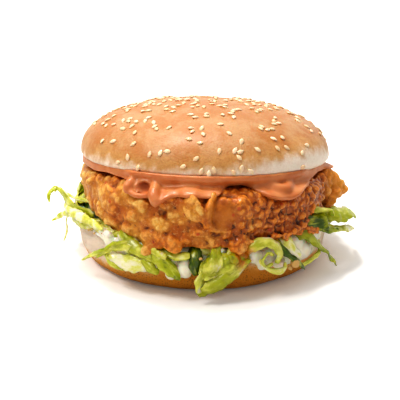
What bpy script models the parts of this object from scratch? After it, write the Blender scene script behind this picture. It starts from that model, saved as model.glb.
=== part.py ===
"""A fried chicken burger in a seeded bun, as six solid layers at real size.

From the table up: the heel of the bun, a layer of mayonnaise, a bed of shredded lettuce, the fried
fillet, a layer of pink burger sauce, and the crown of the bun, tilted back on the thick front of the
fillet. Metres, +Z up. The origin is the centre of the heel's flat underside. -Y is the front, where
the sauce and the lettuce hang out furthest.
"""

from math import cos, exp, pi, radians, sin, tan

import bmesh
import bpy
from mathutils import Vector, noise

# Driving dimensions, in metres.
CROWN_RADIUS = 0.059
CROWN_RISE = 0.0245
CROWN_CUT_RADIUS = 0.055
CROWN_CUT_DROP = 0.0026
CROWN_CENTRE = Vector((0.0005, 0.0, 0.0494))
CROWN_TILT_BACK = radians(7.4)
CROWN_TILT_SIDE = radians(1.4)

HEEL_RADIUS = 0.0598
HEEL_HEIGHT = 0.0218
HEEL_FOOT_RADIUS = 0.0495
HEEL_FOOT_ROUND = 0.0092

MAYO_RADIUS = 0.0525
MAYO_THICKNESS = 0.0018

FILLET_RADIUS = 0.0575
FILLET_FRONT_REACH = 0.0075
FILLET_WING_REACH = 0.0095
FILLET_WING_TAPER = 0.0115
FILLET_BOTTOM = 0.0290
FILLET_EDGE_DROP = 0.0030
FILLET_FRONT_DROP = 0.0095
FILLET_SHOULDER_SQUARENESS = 5.5
FILLET_UNDERSIDE_SQUARENESS = 6.0
FILLET_LUMP = 0.0026

SAUCE_THICKNESS = 0.0022
SAUCE_LIP = 0.0026
SAUCE_HIDDEN_HANG = 0.0036
SAUCE_FRONT_HANG = 0.0066

LETTUCE_REACH = 0.0630
LETTUCE_SKIRT_INSIDE = 0.0604
LETTUCE_HEM = 0.0172
LETTUCE_FRONT_HANG = 0.0036

GAP = 0.0004

# How finely each layer is cut into faces.
COLUMNS = 72
BUN_COLUMNS = 44


def difference(angle, centre_deg):
    """The angle from a bearing, in radians, brought into -pi to pi."""
    return (angle - radians(centre_deg) + pi) % (2 * pi) - pi


def bump(angle, centre_deg, width_deg):
    """1 at a bearing and falling away smoothly on both sides of it."""
    return exp(-((difference(angle, centre_deg) / radians(width_deg)) ** 2))


def tongue(angle, centre_deg, width_deg):
    """Like bump, with a flatter top and steeper sides."""
    return exp(-((difference(angle, centre_deg) / radians(width_deg)) ** 4))


def ramp(value, low, high):
    """0 below low, 1 above high, and smooth in between."""
    t = min(1.0, max(0.0, (value - low) / (high - low)))
    return t * t * (3 - 2 * t)


def front_band(angle, half_width_deg, fade_deg):
    """1 over the front of the burger and 0 behind, with soft ends."""
    off = abs(difference(angle, -81))
    return 1 - ramp(off, radians(half_width_deg - fade_deg), radians(half_width_deg + fade_deg))


def at(angle, radius, height):
    return Vector((radius * cos(angle), radius * sin(angle), height))


def material(name, colour, roughness):
    made = bpy.data.materials.new(name)
    made.use_nodes = True
    shader = made.node_tree.nodes["Principled BSDF"]
    shader.inputs["Base Color"].default_value = (*colour, 1.0)
    shader.inputs["Roughness"].default_value = roughness
    shader.inputs["Metallic"].default_value = 0.0
    made.diffuse_color = (*colour, 1.0)
    return made


def add_object(name, bm, finish):
    mesh = bpy.data.meshes.new(name)
    bm.to_mesh(mesh)
    bm.free()
    mesh.materials.append(finish)
    mesh.shade_smooth()
    mesh.set_sharp_from_angle(angle=radians(50))
    made = bpy.data.objects.new(name, mesh)
    bpy.context.scene.collection.objects.link(made)
    return made


def loft(rings, first, last):
    """A closed skin over rings that share one count of points, from a pole below to a pole above."""
    bm = bmesh.new()
    grid = [[bm.verts.new(p) for p in ring] for ring in rings]
    start, end = bm.verts.new(first), bm.verts.new(last)
    count = len(rings[0])
    for i in range(count):
        j = (i + 1) % count
        bm.faces.new((start, grid[0][j], grid[0][i]))
        bm.faces.new((end, grid[-1][i], grid[-1][j]))
        for lower, upper in zip(grid, grid[1:]):
            bm.faces.new((lower[i], lower[j], upper[j]))
            bm.faces.new((lower[i], upper[j], upper[i]))
    return bm


def turned(profile, columns):
    """A profile of (radius, height) points spun once about Z, from the lower pole to the upper one."""
    bm = bmesh.new()
    verts = [bm.verts.new((radius, 0, height)) for radius, height in profile]
    edges = [bm.edges.new(pair) for pair in zip(verts, verts[1:])]
    bmesh.ops.spin(
        bm, geom=verts + edges, cent=(0, 0, 0), axis=(0, 0, 1), angle=2 * pi, steps=columns, use_merge=True
    )
    bmesh.ops.remove_doubles(bm, verts=bm.verts, dist=1e-6)
    bmesh.ops.recalc_face_normals(bm, faces=bm.faces)
    return bm


# The two halves of the bun.


def crown_plane(x, y):
    """Height of the crown's cut underside over a point."""
    centre = CROWN_CENTRE.z - CROWN_CUT_DROP
    return centre - tan(CROWN_TILT_BACK) * y - tan(CROWN_TILT_SIDE) * (x - CROWN_CENTRE.x)


def crown_profile():
    """Cut face, tucked-in lower edge and domed top. The dome is a little squarer than an ellipse."""
    cut = [(0.0, -CROWN_CUT_DROP), (CROWN_CUT_RADIUS * 0.6, -CROWN_CUT_DROP)]
    tuck = [radians(a) for a in (90, 60, 30)]
    edge = [
        (CROWN_CUT_RADIUS + (CROWN_RADIUS - CROWN_CUT_RADIUS) * cos(a), -CROWN_CUT_DROP * sin(a))
        for a in tuck
    ]
    power = 2 / 2.2
    dome = [radians(a) for a in (0, 12, 24, 36, 48, 60, 72, 82)]
    top = [(CROWN_RADIUS * cos(a) ** power, CROWN_RISE * sin(a) ** power) for a in dome]
    return cut + edge + top + [(0.0, CROWN_RISE)]


def make_crown(finish):
    bm = turned(crown_profile(), BUN_COLUMNS)
    for v in bm.verts:
        if v.co.z > -CROWN_CUT_DROP / 2:
            swell = noise.noise(v.co / 0.045 + Vector((3, 7, 1)))
            v.co *= 1 + 0.014 * swell
    crown = add_object("bun_crown", bm, finish)
    crown.location = CROWN_CENTRE
    crown.rotation_euler = (-CROWN_TILT_BACK, CROWN_TILT_SIDE, 0)
    return crown


def heel_profile():
    """Flat foot, a wide rounded lower edge, and a nearly upright side to the cut rim."""
    foot = [(0.0, 0.0)]
    turn = [radians(a) for a in (-90, -66, -42, -20, 0)]
    edge = [
        (HEEL_FOOT_RADIUS + HEEL_FOOT_ROUND * cos(a), HEEL_FOOT_ROUND * (1 + sin(a))) for a in turn
    ]
    rim = [
        (HEEL_RADIUS, HEEL_HEIGHT * 0.68),
        (HEEL_RADIUS - 0.0004, HEEL_HEIGHT - 0.0024),
        (HEEL_RADIUS - 0.0022, HEEL_HEIGHT),
        (HEEL_RADIUS * 0.5, HEEL_HEIGHT),
        (0.0, HEEL_HEIGHT),
    ]
    return foot + edge + rim


def make_heel(finish):
    bm = turned(heel_profile(), BUN_COLUMNS)
    for v in bm.verts:
        radius = v.co.xy.length
        if radius > HEEL_FOOT_RADIUS + 0.001 and v.co.z < HEEL_HEIGHT - 0.001:
            dent = min(0.0, noise.noise(v.co / 0.03 + Vector((5, 2, 9))))
            v.co.xy *= 1 + 0.012 * dent
    return add_object("bun_heel", bm, finish)


# The fillet. Everything that touches it is worked out from its own surface.


def fillet_radius(angle):
    """Outline seen from above: a wide front, a pointed wing at the right, and a notch before it."""
    return (
        FILLET_RADIUS
        + FILLET_FRONT_REACH * bump(angle, -86, 65)
        + 0.0015 * bump(angle, -32, 12)
        + FILLET_WING_REACH * bump(angle, 4, 13)
        - 0.0030 * bump(angle, -17, 7)
        + 0.0020 * bump(angle, 128, 18)
    )


def fillet_bottom(radius, angle):
    """Underside: flat in the middle, sagging towards its edge, and over the heel's rim at the front."""
    sag = FILLET_EDGE_DROP * ramp(radius, 0.020, 0.058)
    edge = max(fillet_radius(angle), 0.0615)
    front = FILLET_FRONT_DROP * front_band(angle, 60, 9) * ramp(radius, edge - 0.0060, edge)
    wing = 0.0020 * bump(angle, 4, 14) * ramp(radius, 0.058, 0.067)
    return FILLET_BOTTOM - sag - front + wing


def fillet_top(radius, angle):
    x, y = radius * cos(angle), radius * sin(angle)
    wing = FILLET_WING_TAPER * bump(angle, 4, 14) * ramp(radius, 0.053, 0.066)
    return crown_plane(x, y) - SAUCE_THICKNESS - wing


def fillet_point(angle, latitude):
    """A point of the fillet's skin. Latitude runs from -pi/2 under the middle to pi/2 on top of it."""
    power = 2 / (FILLET_SHOULDER_SQUARENESS if latitude > 0 else FILLET_UNDERSIDE_SQUARENESS)
    outward = abs(cos(latitude)) ** power
    upward = abs(sin(latitude)) ** power * (1 if latitude > 0 else -1)
    radius = fillet_radius(angle) * outward
    top, bottom = fillet_top(radius, angle), fillet_bottom(radius, angle)
    height = (top + bottom) / 2 + upward * (top - bottom) / 2
    skin = at(angle, radius, height)
    lump = noise.noise(skin / 0.016) + 0.5 * noise.noise(skin / 0.008)
    return at(angle, radius + FILLET_LUMP * lump * outward**4, height)


def angles(columns=COLUMNS):
    return [2 * pi * i / columns for i in range(columns)]


def fillet_ring(latitude_deg, lower=0.0):
    """One ring of the fillet's skin, or the same ring a little lower, for what lies against it."""
    return [fillet_point(a, radians(latitude_deg)) - Vector((0, 0, lower)) for a in angles()]


# Latitudes of the rings, in degrees. The underside's are shared with the top of the lettuce.
FILLET_UNDERSIDE = [-89, -84, -72, -58, -46, -36, -27]
FILLET_SIDE = [-19, -12, -6, 0, 7, 14, 22, 31, 41, 52, 64, 76, 86]


def make_fillet(finish):
    rings = [fillet_ring(latitude) for latitude in FILLET_UNDERSIDE + FILLET_SIDE]
    middle = [Vector((0, 0, height(0, 0))) for height in (fillet_bottom, fillet_top)]
    return add_object("chicken_fillet", loft(rings, *middle), finish)


# The sauce lies between the fillet and the crown, and hangs over the front in a thick lip.


def sauce_hang(angle):
    """How far below the crown's underside the sauce reaches."""
    drips = 0.0038 * bump(angle, -108.3, 4.5) + 0.0009 * bump(angle, -87, 4) + 0.0020 * bump(angle, -55, 8)
    gathered = 0.0024 * bump(angle, -75.5, 5)
    front = SAUCE_FRONT_HANG + drips - gathered
    return SAUCE_HIDDEN_HANG + (front - SAUCE_HIDDEN_HANG) * front_band(angle, 43, 4)


def sauce_edge_latitude(angle):
    """The latitude on the fillet where the sauce ends, found by halving."""
    low, high = radians(5), radians(88)
    for _ in range(24):
        middle = (low + high) / 2
        p = fillet_point(angle, middle)
        if crown_plane(p.x, p.y) - p.z > sauce_hang(angle):
            low = middle
        else:
            high = middle
    return high


def sauce_ring(share, thickness):
    """One ring of the sauce, at a share of the way down from its middle, this far off the fillet."""
    ring = []
    for a in angles():
        latitude = pi / 2 + (sauce_edge_latitude(a) - pi / 2) * share
        p = fillet_point(a, latitude)
        lip = 0.25 + 0.75 * front_band(a, 42, 6)
        away = GAP + thickness * lip
        p += at(a, away * cos(latitude), away * sin(latitude) + GAP)
        ceiling = crown_plane(p.x, p.y) - GAP
        p.z = min(p.z, ceiling)
        if thickness > 0:
            p.z += (ceiling - p.z) * (1 - ramp(share, 0.45, 0.80))
        ring.append(p)
    return ring


def make_sauce(finish):
    inside = [0.08, 0.35, 0.60, 0.80, 0.93]
    outside = [(1.02, 0.45), (0.98, 0.95), (0.86, 1.0), (0.70, 1.0), (0.45, 1.0), (0.08, 1.0)]
    rings = [sauce_ring(share, 0.0) for share in inside]
    rings += [sauce_ring(share, SAUCE_LIP * fat) for share, fat in outside]
    under = Vector((0, 0, fillet_top(0, 0) + 2 * GAP))
    over = Vector((0, 0, crown_plane(0, 0) - GAP))
    return add_object("burger_sauce", loft(rings, under, over), finish)


# The mayonnaise lies on the heel, and the lettuce on both.


def mayo_radius(angle):
    return MAYO_RADIUS + 0.0014 * sin(3 * angle + 0.6) + 0.0008 * sin(7 * angle)


def make_mayo(finish):
    base = HEEL_HEIGHT + GAP
    levels = [(0.4, 0.0), (0.8, 0.0), (0.97, 0.0), (1.0, 0.45), (0.97, 0.85), (0.85, 1.0), (0.4, 1.0)]
    rings = [
        [at(a, mayo_radius(a) * share, base + MAYO_THICKNESS * up) for a in angles(48)]
        for share, up in levels
    ]
    middle = [Vector((0, 0, base)), Vector((0, 0, base + MAYO_THICKNESS))]
    return add_object("mayonnaise_layer", loft(rings, *middle), finish)


def lettuce_reach(angle):
    """Outline seen from above, with the tufts that stick out at the left and the right."""
    tufts = 0.0125 * bump(angle, 184, 9) + 0.0085 * bump(angle, -8, 9) + 0.0050 * bump(angle, -31, 6)
    lobes = 0.0042 * noise.noise(at(angle, 0.0042, 0) / 0.001) + 0.0014 * sin(19 * angle)
    front = 0.0030 * front_band(angle, 50, 12)
    return max(LETTUCE_SKIRT_INSIDE + 0.0030, LETTUCE_REACH + front + lobes + tufts)


def lettuce_hem(angle):
    """Height of the lowest shreds, which hang over the side of the heel at the front."""
    front = LETTUCE_FRONT_HANG * front_band(angle, 44, 8)
    leaf = 0.0098 * tongue(angle, -87, 9) + 0.0045 * bump(angle, -61, 5)
    sprigs = 0.0080 * bump(angle, 186, 4) + 0.0070 * bump(angle, -31, 4) + 0.0080 * bump(angle, -151, 3)
    shreds = 0.0016 * noise.noise(at(angle, 0.0060, 0.004) / 0.001)
    return LETTUCE_HEM - front - leaf - sprigs - shreds


def lettuce_shoulder(angle):
    """Height of the outer shreds, beside the lower edge of the fillet."""
    tufts = 0.0075 * tongue(angle, 182, 11) + 0.0040 * tongue(angle, -8, 10)
    front = 0.0022 * front_band(angle, 60, 12)
    shreds = 0.0010 * noise.noise(at(angle, 0.0050, 0.009) / 0.001)
    return 0.0222 + tufts - front + shreds


def lettuce_side(angle):
    """The visible edge at one bearing, from the inside of the hem, round it, and up to the shoulder."""
    hem, shoulder = lettuce_hem(angle), lettuce_shoulder(angle)
    inside, reach = LETTUCE_SKIRT_INSIDE, lettuce_reach(angle)
    middle = (hem + shoulder) / 2
    inner = [
        (inside, HEEL_HEIGHT - 0.0018),
        (inside, min(middle, HEEL_HEIGHT - 0.0024)),
        (inside + 0.0003, hem + 0.0008),
        (inside + 0.0010, hem),
    ]
    outer = [
        (inside + 0.6 * (reach - inside), hem + 0.0008),
        (reach - 0.0004, middle - 0.0008),
        (reach, middle + 0.0008),
        (reach - 0.0014, shoulder),
    ]
    side = [at(angle, radius, height) for radius, height in inner]
    for radius, height in outer:
        ruffle = 0.0016 * noise.noise(at(angle, radius, height) / 0.0045)
        side.append(at(angle, max(inside + 0.0018, radius + ruffle), height))
    return side


def make_lettuce(finish):
    mayo_top = HEEL_HEIGHT + MAYO_THICKNESS + 2 * GAP
    floor = [(0.030, mayo_top), (0.0545, mayo_top), (0.0576, HEEL_HEIGHT + GAP)]
    rings = [[at(a, radius, height) for a in angles()] for radius, height in floor]
    rings += [list(ring) for ring in zip(*(lettuce_side(a) for a in angles()))]
    steep = {latitude: 2.5 * GAP if latitude > -60 else GAP for latitude in FILLET_UNDERSIDE}
    rings += [fillet_ring(latitude, steep[latitude]) for latitude in reversed(FILLET_UNDERSIDE)]
    under = Vector((0, 0, mayo_top))
    over = Vector((0, 0, FILLET_BOTTOM - GAP))
    return add_object("lettuce_bed", loft(rings, under, over), finish)


def clear_scene():
    for old in list(bpy.data.objects):
        bpy.data.objects.remove(old)


def main():
    clear_scene()
    make_heel(material("heel_crust", (0.62, 0.36, 0.16), 0.65))
    make_mayo(material("mayonnaise", (0.86, 0.82, 0.70), 0.25))
    make_lettuce(material("lettuce", (0.42, 0.55, 0.10), 0.40))
    make_fillet(material("fried_batter", (0.60, 0.27, 0.06), 0.40))
    make_sauce(material("pink_sauce", (0.80, 0.32, 0.16), 0.25))
    make_crown(material("crown_crust", (0.78, 0.42, 0.18), 0.50))


main()
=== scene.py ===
"""A fried chicken burger: the look of it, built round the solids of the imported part.

The file goes through the burger as it is put together, from the heel of the bun up to the seeds on
its crown, and ends with the table, lights and camera. Metres throughout, +Z up, -Y to the front.
"""

from math import cos, hypot, pi, radians, sin

import bmesh
import bpy
import numpy as np
from mathutils import Matrix, Vector, noise
from mathutils.bvhtree import BVHTree


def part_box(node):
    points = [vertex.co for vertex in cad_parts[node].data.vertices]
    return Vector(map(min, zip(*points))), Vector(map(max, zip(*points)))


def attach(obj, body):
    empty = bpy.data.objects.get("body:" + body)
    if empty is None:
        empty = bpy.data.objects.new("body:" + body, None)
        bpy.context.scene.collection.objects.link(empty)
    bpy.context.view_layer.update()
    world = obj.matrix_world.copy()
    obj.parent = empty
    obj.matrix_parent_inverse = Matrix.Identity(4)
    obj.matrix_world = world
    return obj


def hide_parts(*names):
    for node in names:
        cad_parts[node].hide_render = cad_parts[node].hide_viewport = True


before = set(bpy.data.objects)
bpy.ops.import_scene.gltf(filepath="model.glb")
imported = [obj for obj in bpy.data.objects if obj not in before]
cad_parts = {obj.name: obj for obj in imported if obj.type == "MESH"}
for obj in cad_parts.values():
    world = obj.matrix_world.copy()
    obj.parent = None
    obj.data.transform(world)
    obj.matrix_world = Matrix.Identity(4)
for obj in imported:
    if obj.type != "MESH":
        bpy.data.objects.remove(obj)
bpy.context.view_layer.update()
MM = 0.001


# ---------------------------------------------------------------------------------------------
# Heel: the bottom half of a soft wheat bun. It was baked standing on a tray, so its foot and
# lower edge are golden brown and dry, with pores. The side stayed pale, and a knife cut its rim.
# ---------------------------------------------------------------------------------------------


def seen(red, green, blue):
    """A colour as the eye sees it, each part 0 to 255, made linear for the shaders."""
    parts = [c / 255 for c in (red, green, blue)]
    return tuple(c / 12.92 if c < 0.04045 else ((c + 0.055) / 1.055) ** 2.4 for c in parts) + (1.0,)


def ramp(value, low, high):
    """0 below low, 1 above high, smooth between. Takes one number or an array."""
    t = np.clip((value - low) / (high - low), 0.0, 1.0)
    return t * t * (3 - 2 * t)


def bump(angle, centre, width):
    """1 at a bearing in degrees, falling away smoothly on both sides."""
    off = (angle - centre + 180) % 360 - 180
    return np.exp(-((off / width) ** 2))


def at(bearing, radius, height):
    """A point by bearing in degrees, and radius and height in millimetres."""
    return Vector((radius * cos(radians(bearing)), radius * sin(radians(bearing)), height)) * MM


def bearings(points):
    return np.degrees(np.arctan2(points[:, 1], points[:, 0]))


def cloud(points, size, shift=0.0):
    """Smooth random values near -1 to 1 at points, varying over about that size in millimetres."""
    step = 1 / (size * MM)
    offset = Vector((shift, shift * 1.7, shift * 0.6))
    return np.array([noise.noise(Vector(p) * step + offset) for p in points])


def turned(profile, columns):
    """A profile of (radius, height) from the lower pole to the upper, turned about Z."""
    angles = np.arange(columns) * 2 * pi / columns
    rings = np.array(profile[1:-1])
    points = np.stack(
        [
            rings[:, None, 0] * np.cos(angles),
            rings[:, None, 0] * np.sin(angles),
            np.repeat(rings[:, 1, None], columns, axis=1),
        ],
        axis=-1,
    ).reshape(-1, 3)
    low, high = len(points), len(points) + 1
    points = np.vstack([points, [0, 0, profile[0][1]], [0, 0, profile[-1][1]]])
    faces = []
    last = (len(rings) - 1) * columns
    for i in range(columns):
        j = (i + 1) % columns
        faces.append((low, j, i))
        faces.append((high, last + i, last + j))
        for r in range(0, last, columns):
            faces.append((r + i, r + j, r + columns + j, r + columns + i))
    return points, faces


def spaced(profile, step):
    """The same profile with points no further apart than the step."""
    fine = [profile[0]]
    for (r0, z0), (r1, z1) in zip(profile, profile[1:]):
        parts = max(1, round(hypot(r1 - r0, z1 - z0) / step))
        fine += [(r0 + (r1 - r0) * k / parts, z0 + (z1 - z0) * k / parts) for k in range(1, parts + 1)]
    return fine


def vertex_normals(points, faces):
    """Unit normals at the points, by the area of the faces round them."""
    normals = np.zeros_like(points)
    for size in (3, 4):
        group = np.array([f for f in faces if len(f) == size])
        if len(group):
            across = points[group[:, 2]] - points[group[:, 0]]
            along = points[group[:, -1]] - points[group[:, 1]]
            if size == 3:
                along = points[group[:, 2]] - points[group[:, 1]]
            cross = np.cross(across, along)
            for k in range(size):
                np.add.at(normals, group[:, k], cross)
    return normals / np.maximum(np.linalg.norm(normals, axis=1, keepdims=True), 1e-12)


def add_piece(name, points, faces, material, node, masks=None):
    """Makes a piece, dresses it, and hides the solid that it stands for. Masks are values per point."""
    mesh = bpy.data.meshes.new(name)
    mesh.from_pydata(np.asarray(points).tolist(), [], [list(f) for f in faces])
    mesh.shade_smooth()
    for mask, values in (masks or {}).items():
        mesh.attributes.new(mask, "FLOAT", "POINT").data.foreach_set("value", np.asarray(values, float))
    mesh.materials.append(material)
    piece = bpy.data.objects.new(name, mesh)
    bpy.context.scene.collection.objects.link(piece)
    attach(piece, "root")
    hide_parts(node)
    return piece


def place(tree, kind, inputs=None, **settings):
    """Adds a node, sets it up, and links or fills its inputs."""
    node = tree.nodes.new(kind)
    for key, value in settings.items():
        setattr(node, key, value)
    for socket, value in (inputs or {}).items():
        if isinstance(value, bpy.types.NodeSocket):
            tree.links.new(value, node.inputs[socket])
        else:
            node.inputs[socket].default_value = value
    return node


def new_finish(name, roughness, **sockets):
    """A material whose plain values sit on its shader. Returns the material, tree and shader."""
    material = bpy.data.materials.new(name)
    material.use_nodes = True
    tree = material.node_tree
    shader = tree.nodes["Principled BSDF"]
    shader.inputs["Roughness"].default_value = roughness
    for socket, value in sockets.items():
        shader.inputs[socket.replace("_", " ")].default_value = value
    return material, tree, shader


def mask_value(tree, name):
    return place(tree, "ShaderNodeAttribute", attribute_name=name).outputs["Fac"]


def between(tree, value, low, high, start=0.0, end=1.0):
    """Brings a value from low-high to start-end with a smooth step."""
    inputs = {"Value": value, "From Min": low, "From Max": high, "To Min": start, "To Max": end}
    return place(tree, "ShaderNodeMapRange", inputs, interpolation_type="SMOOTHSTEP").outputs["Result"]


def maths(tree, operation, first, second):
    """A sum on two values. Each may be a number or a socket."""
    return place(tree, "ShaderNodeMath", {0: first, 1: second}, operation=operation).outputs[0]


def plus(tree, first, second):
    return maths(tree, "ADD", first, second)


def less(tree, first, second):
    return maths(tree, "SUBTRACT", first, second)


def times(tree, first, second):
    return maths(tree, "MULTIPLY", first, second)


def mixed(tree, share, first, second):
    """Two colours mixed by a share. Sockets 6 and 7 of the node are its colours."""
    inputs = {0: share, 6: first, 7: second}
    return place(tree, "ShaderNodeMix", inputs, data_type="RGBA").outputs[2]


def noise_at(tree, where, scale, detail, roughness, distortion=0.0):
    """Noise at the points that a socket gives. The scale may be a number or a socket."""
    inputs = {"Vector": where, "Scale": scale, "Detail": detail, "Roughness": roughness}
    inputs["Distortion"] = distortion
    return place(tree, "ShaderNodeTexNoise", inputs).outputs["Fac"]


def speckle(tree, size, detail=2.0, roughness=0.5, stretch=None):
    """Noise over the piece itself, with blotches of about that size in millimetres."""
    where = place(tree, "ShaderNodeTexCoord").outputs["Object"]
    if stretch:
        where = place(tree, "ShaderNodeMapping", {"Vector": where, "Scale": stretch}).outputs[0]
    return noise_at(tree, where, 1000 / size, detail, roughness)


def raised(tree, shader, height, depth):
    """A bump of that depth in millimetres on a shader."""
    node = place(tree, "ShaderNodeBump", {"Height": height, "Distance": depth * MM})
    tree.links.new(node.outputs[0], shader.inputs["Normal"])


def new_group(name, values, results):
    """An empty node group. Returns its tree, and the sockets of its values and of its results."""
    tree = bpy.data.node_groups.new(name, "ShaderNodeTree")
    for socket, value in values.items():
        made = tree.interface.new_socket(socket, in_out="INPUT", socket_type="NodeSocketFloat")
        made.default_value = value
    for socket in results:
        tree.interface.new_socket(socket, in_out="OUTPUT", socket_type="NodeSocketFloat")
    return tree, tree.nodes.new("NodeGroupInput").outputs, tree.nodes.new("NodeGroupOutput").inputs


def crust_group():
    """Shared by both halves of the bun: the fine wrinkled skin of a baked crust and its pores."""
    values = {"Wrinkle Size": 1.2, "Pore Size": 0.7, "Pore Amount": 0.3}
    tree, inside, outside = new_group("bread_crust", values, ("Height", "Pores", "Blotches"))
    where = place(tree, "ShaderNodeTexCoord").outputs["Object"]
    wrinkle_scale = maths(tree, "DIVIDE", 1000.0, inside["Wrinkle Size"])
    wrinkles = noise_at(tree, where, wrinkle_scale, 4.0, 0.62)
    pore_scale = maths(tree, "DIVIDE", 1000.0, inside["Pore Size"])
    cells = place(tree, "ShaderNodeTexVoronoi", {"Vector": where, "Scale": pore_scale}).outputs["Distance"]
    patches = speckle(tree, 6.0)
    pores = maths(tree, "LESS_THAN", cells, times(tree, inside["Pore Amount"], patches))
    tree.links.new(less(tree, wrinkles, times(tree, pores, 0.5)), outside["Height"])
    tree.links.new(pores, outside["Pores"])
    tree.links.new(speckle(tree, 3.2, 5.0, 0.66), outside["Blotches"])
    return tree


bread_crust = crust_group()


def crust_on(tree, wrinkle, pore, amount):
    """The crust's height, pores and blotches in a material, with sizes in millimetres."""
    values = {"Wrinkle Size": wrinkle, "Pore Size": pore, "Pore Amount": amount}
    return place(tree, "ShaderNodeGroup", values, node_tree=bread_crust).outputs


def heel_finish():
    """Golden brown foot, cream side, with blotches where the two meet."""
    material, tree, shader = new_finish(
        "heel_crust", 0.72, Subsurface_Weight=0.12, Subsurface_Scale=0.004, Specular_IOR_Level=0.3
    )
    crust = crust_on(tree, 0.9, 0.95, 0.58)
    baked = plus(tree, mask_value(tree, "baked"), less(tree, crust["Blotches"], 0.5))
    golden = mixed(tree, between(tree, baked, 0.12, 0.72), seen(232, 212, 192), seen(228, 172, 96))
    brown = mixed(tree, between(tree, baked, 0.55, 1.15), golden, seen(216, 144, 50))
    open_pores = between(tree, mask_value(tree, "baked"), 0.2, 0.9, 0.06, 0.5)
    pitted = mixed(tree, times(tree, crust["Pores"], open_pores), brown, seen(110, 62, 24))
    crumb = mixed(tree, mask_value(tree, "cut"), pitted, seen(244, 226, 190))
    tree.links.new(crumb, shader.inputs["Base Color"])
    raised(tree, shader, crust["Height"], 0.3)
    return material


heel_low, heel_high = (np.array(c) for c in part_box("bun_heel"))
heel_radius = (heel_high[0] - heel_low[0]) / 2
heel_height = heel_high[2]
foot_round = 9.2 * MM
foot_radius = heel_radius - foot_round - 0.9 * MM
heel_profile = [(0, 0), (foot_radius * 0.9, 0), (foot_radius, 0)]
for step in range(1, 13):
    turn = radians(-90 + 7.5 * step)
    heel_profile.append((foot_radius + foot_round * cos(turn), foot_round * (1 + sin(turn))))
heel_profile += [
    (heel_radius + 0.1 * MM, 13.5 * MM),
    (heel_radius + 0.1 * MM, heel_height - 4.0 * MM),
    (heel_radius - 0.3 * MM, heel_height - 1.6 * MM),
    (heel_radius - 1.1 * MM, heel_height - 0.5 * MM),
    (heel_radius - 2.4 * MM, heel_height),
    (heel_radius - 9 * MM, heel_height),
    (0, heel_height),
]
heel_points, heel_faces = turned(spaced(heel_profile, 1.0 * MM), 260)
heel_out = np.hypot(heel_points[:, 0], heel_points[:, 1])
heel_side = ramp(heel_out, foot_radius, foot_radius + 5 * MM)
dents = np.minimum(0.15, cloud(heel_points, 17, 3.0)) + cloud(heel_points, 5.0, 9.0) * 0.22
rim = ramp(heel_points[:, 2], heel_height - 3 * MM, heel_height) * heel_side
dents = dents + rim * cloud(heel_points, 3.0, 5.0) * 0.45
heel_points[:, :2] *= (1 + dents * MM * heel_side / np.maximum(heel_out, 0.01))[:, None]
heel_bearing = bearings(heel_points)
pale_line = 7.5 + 6.5 * bump(heel_bearing, -82, 38) - 1.5 * bump(heel_bearing, 180, 45)
heel_baked = 1.15 - ramp(heel_points[:, 2] / MM, pale_line - 6.0, pale_line + 5.0) * 1.1
heel_cut = ramp(heel_points[:, 2], heel_height - 1.1 * MM, heel_height - 0.2 * MM)
heel_masks = {"baked": heel_baked, "cut": heel_cut}
add_piece("bun_heel_crust", heel_points, heel_faces, heel_finish(), "bun_heel", heel_masks)


# ---------------------------------------------------------------------------------------------
# Mayonnaise: thick white sauce spread on the heel. It runs through under the lettuce and comes
# out between the leaves, where it hangs over the rim of the heel in a smooth uneven sheet.
# ---------------------------------------------------------------------------------------------


def eased(points, edges, rounds, share=0.5):
    """Points moved towards the mean of their neighbours, round after round."""
    count = np.bincount(edges.ravel(), minlength=len(points))[:, None]
    for _ in range(rounds):
        total = np.zeros_like(points)
        for axis in range(3):
            total[:, axis] += np.bincount(edges[:, 0], points[edges[:, 1], axis], len(points))
            total[:, axis] += np.bincount(edges[:, 1], points[edges[:, 0], axis], len(points))
        points = points + (total / np.maximum(count, 1) - points) * share
    return points


def joined(parts):
    """Parts given as (points, faces) put together as one list of points and one of faces."""
    starts = np.cumsum([0] + [len(points) for points, _ in parts[:-1]])
    faces = [[int(v) + int(s) for v in f] for (_, group), s in zip(parts, starts) for f in group]
    return np.vstack([points for points, _ in parts]), faces


def fused(parts, grain, rounds):
    """Overlapping closed parts made into one skin, with faces of about that size in millimetres."""
    points, faces = joined(parts)
    mesh = bpy.data.meshes.new("raw")
    mesh.from_pydata(points.tolist(), [], faces)
    holder = bpy.data.objects.new("raw", mesh)
    bpy.context.scene.collection.objects.link(holder)
    skin = holder.modifiers.new("skin", "REMESH")
    skin.mode = "VOXEL"
    skin.voxel_size = grain * MM
    graph = bpy.context.evaluated_depsgraph_get()
    fine = bpy.data.meshes.new_from_object(holder.evaluated_get(graph))
    bpy.data.objects.remove(holder)
    points, edges = np.empty((len(fine.vertices), 3)), np.empty((len(fine.edges), 2), int)
    fine.vertices.foreach_get("co", points.ravel())
    fine.edges.foreach_get("vertices", edges.ravel())
    faces = [tuple(face.vertices) for face in fine.polygons]
    return eased(points, edges, rounds), faces, edges


def ball():
    """Points and triangles of a round ball of radius 1."""
    bm = bmesh.new()
    bmesh.ops.create_icosphere(bm, subdivisions=3, radius=1)
    points = np.array([v.co for v in bm.verts])
    faces = [[v.index for v in f.verts] for f in bm.faces]
    bm.free()
    return points, faces


ball_points, ball_faces = ball()
ball_noise = np.array([cloud(ball_points * MM, 0.8, 11.0 * k) for k in range(12)])


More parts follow.
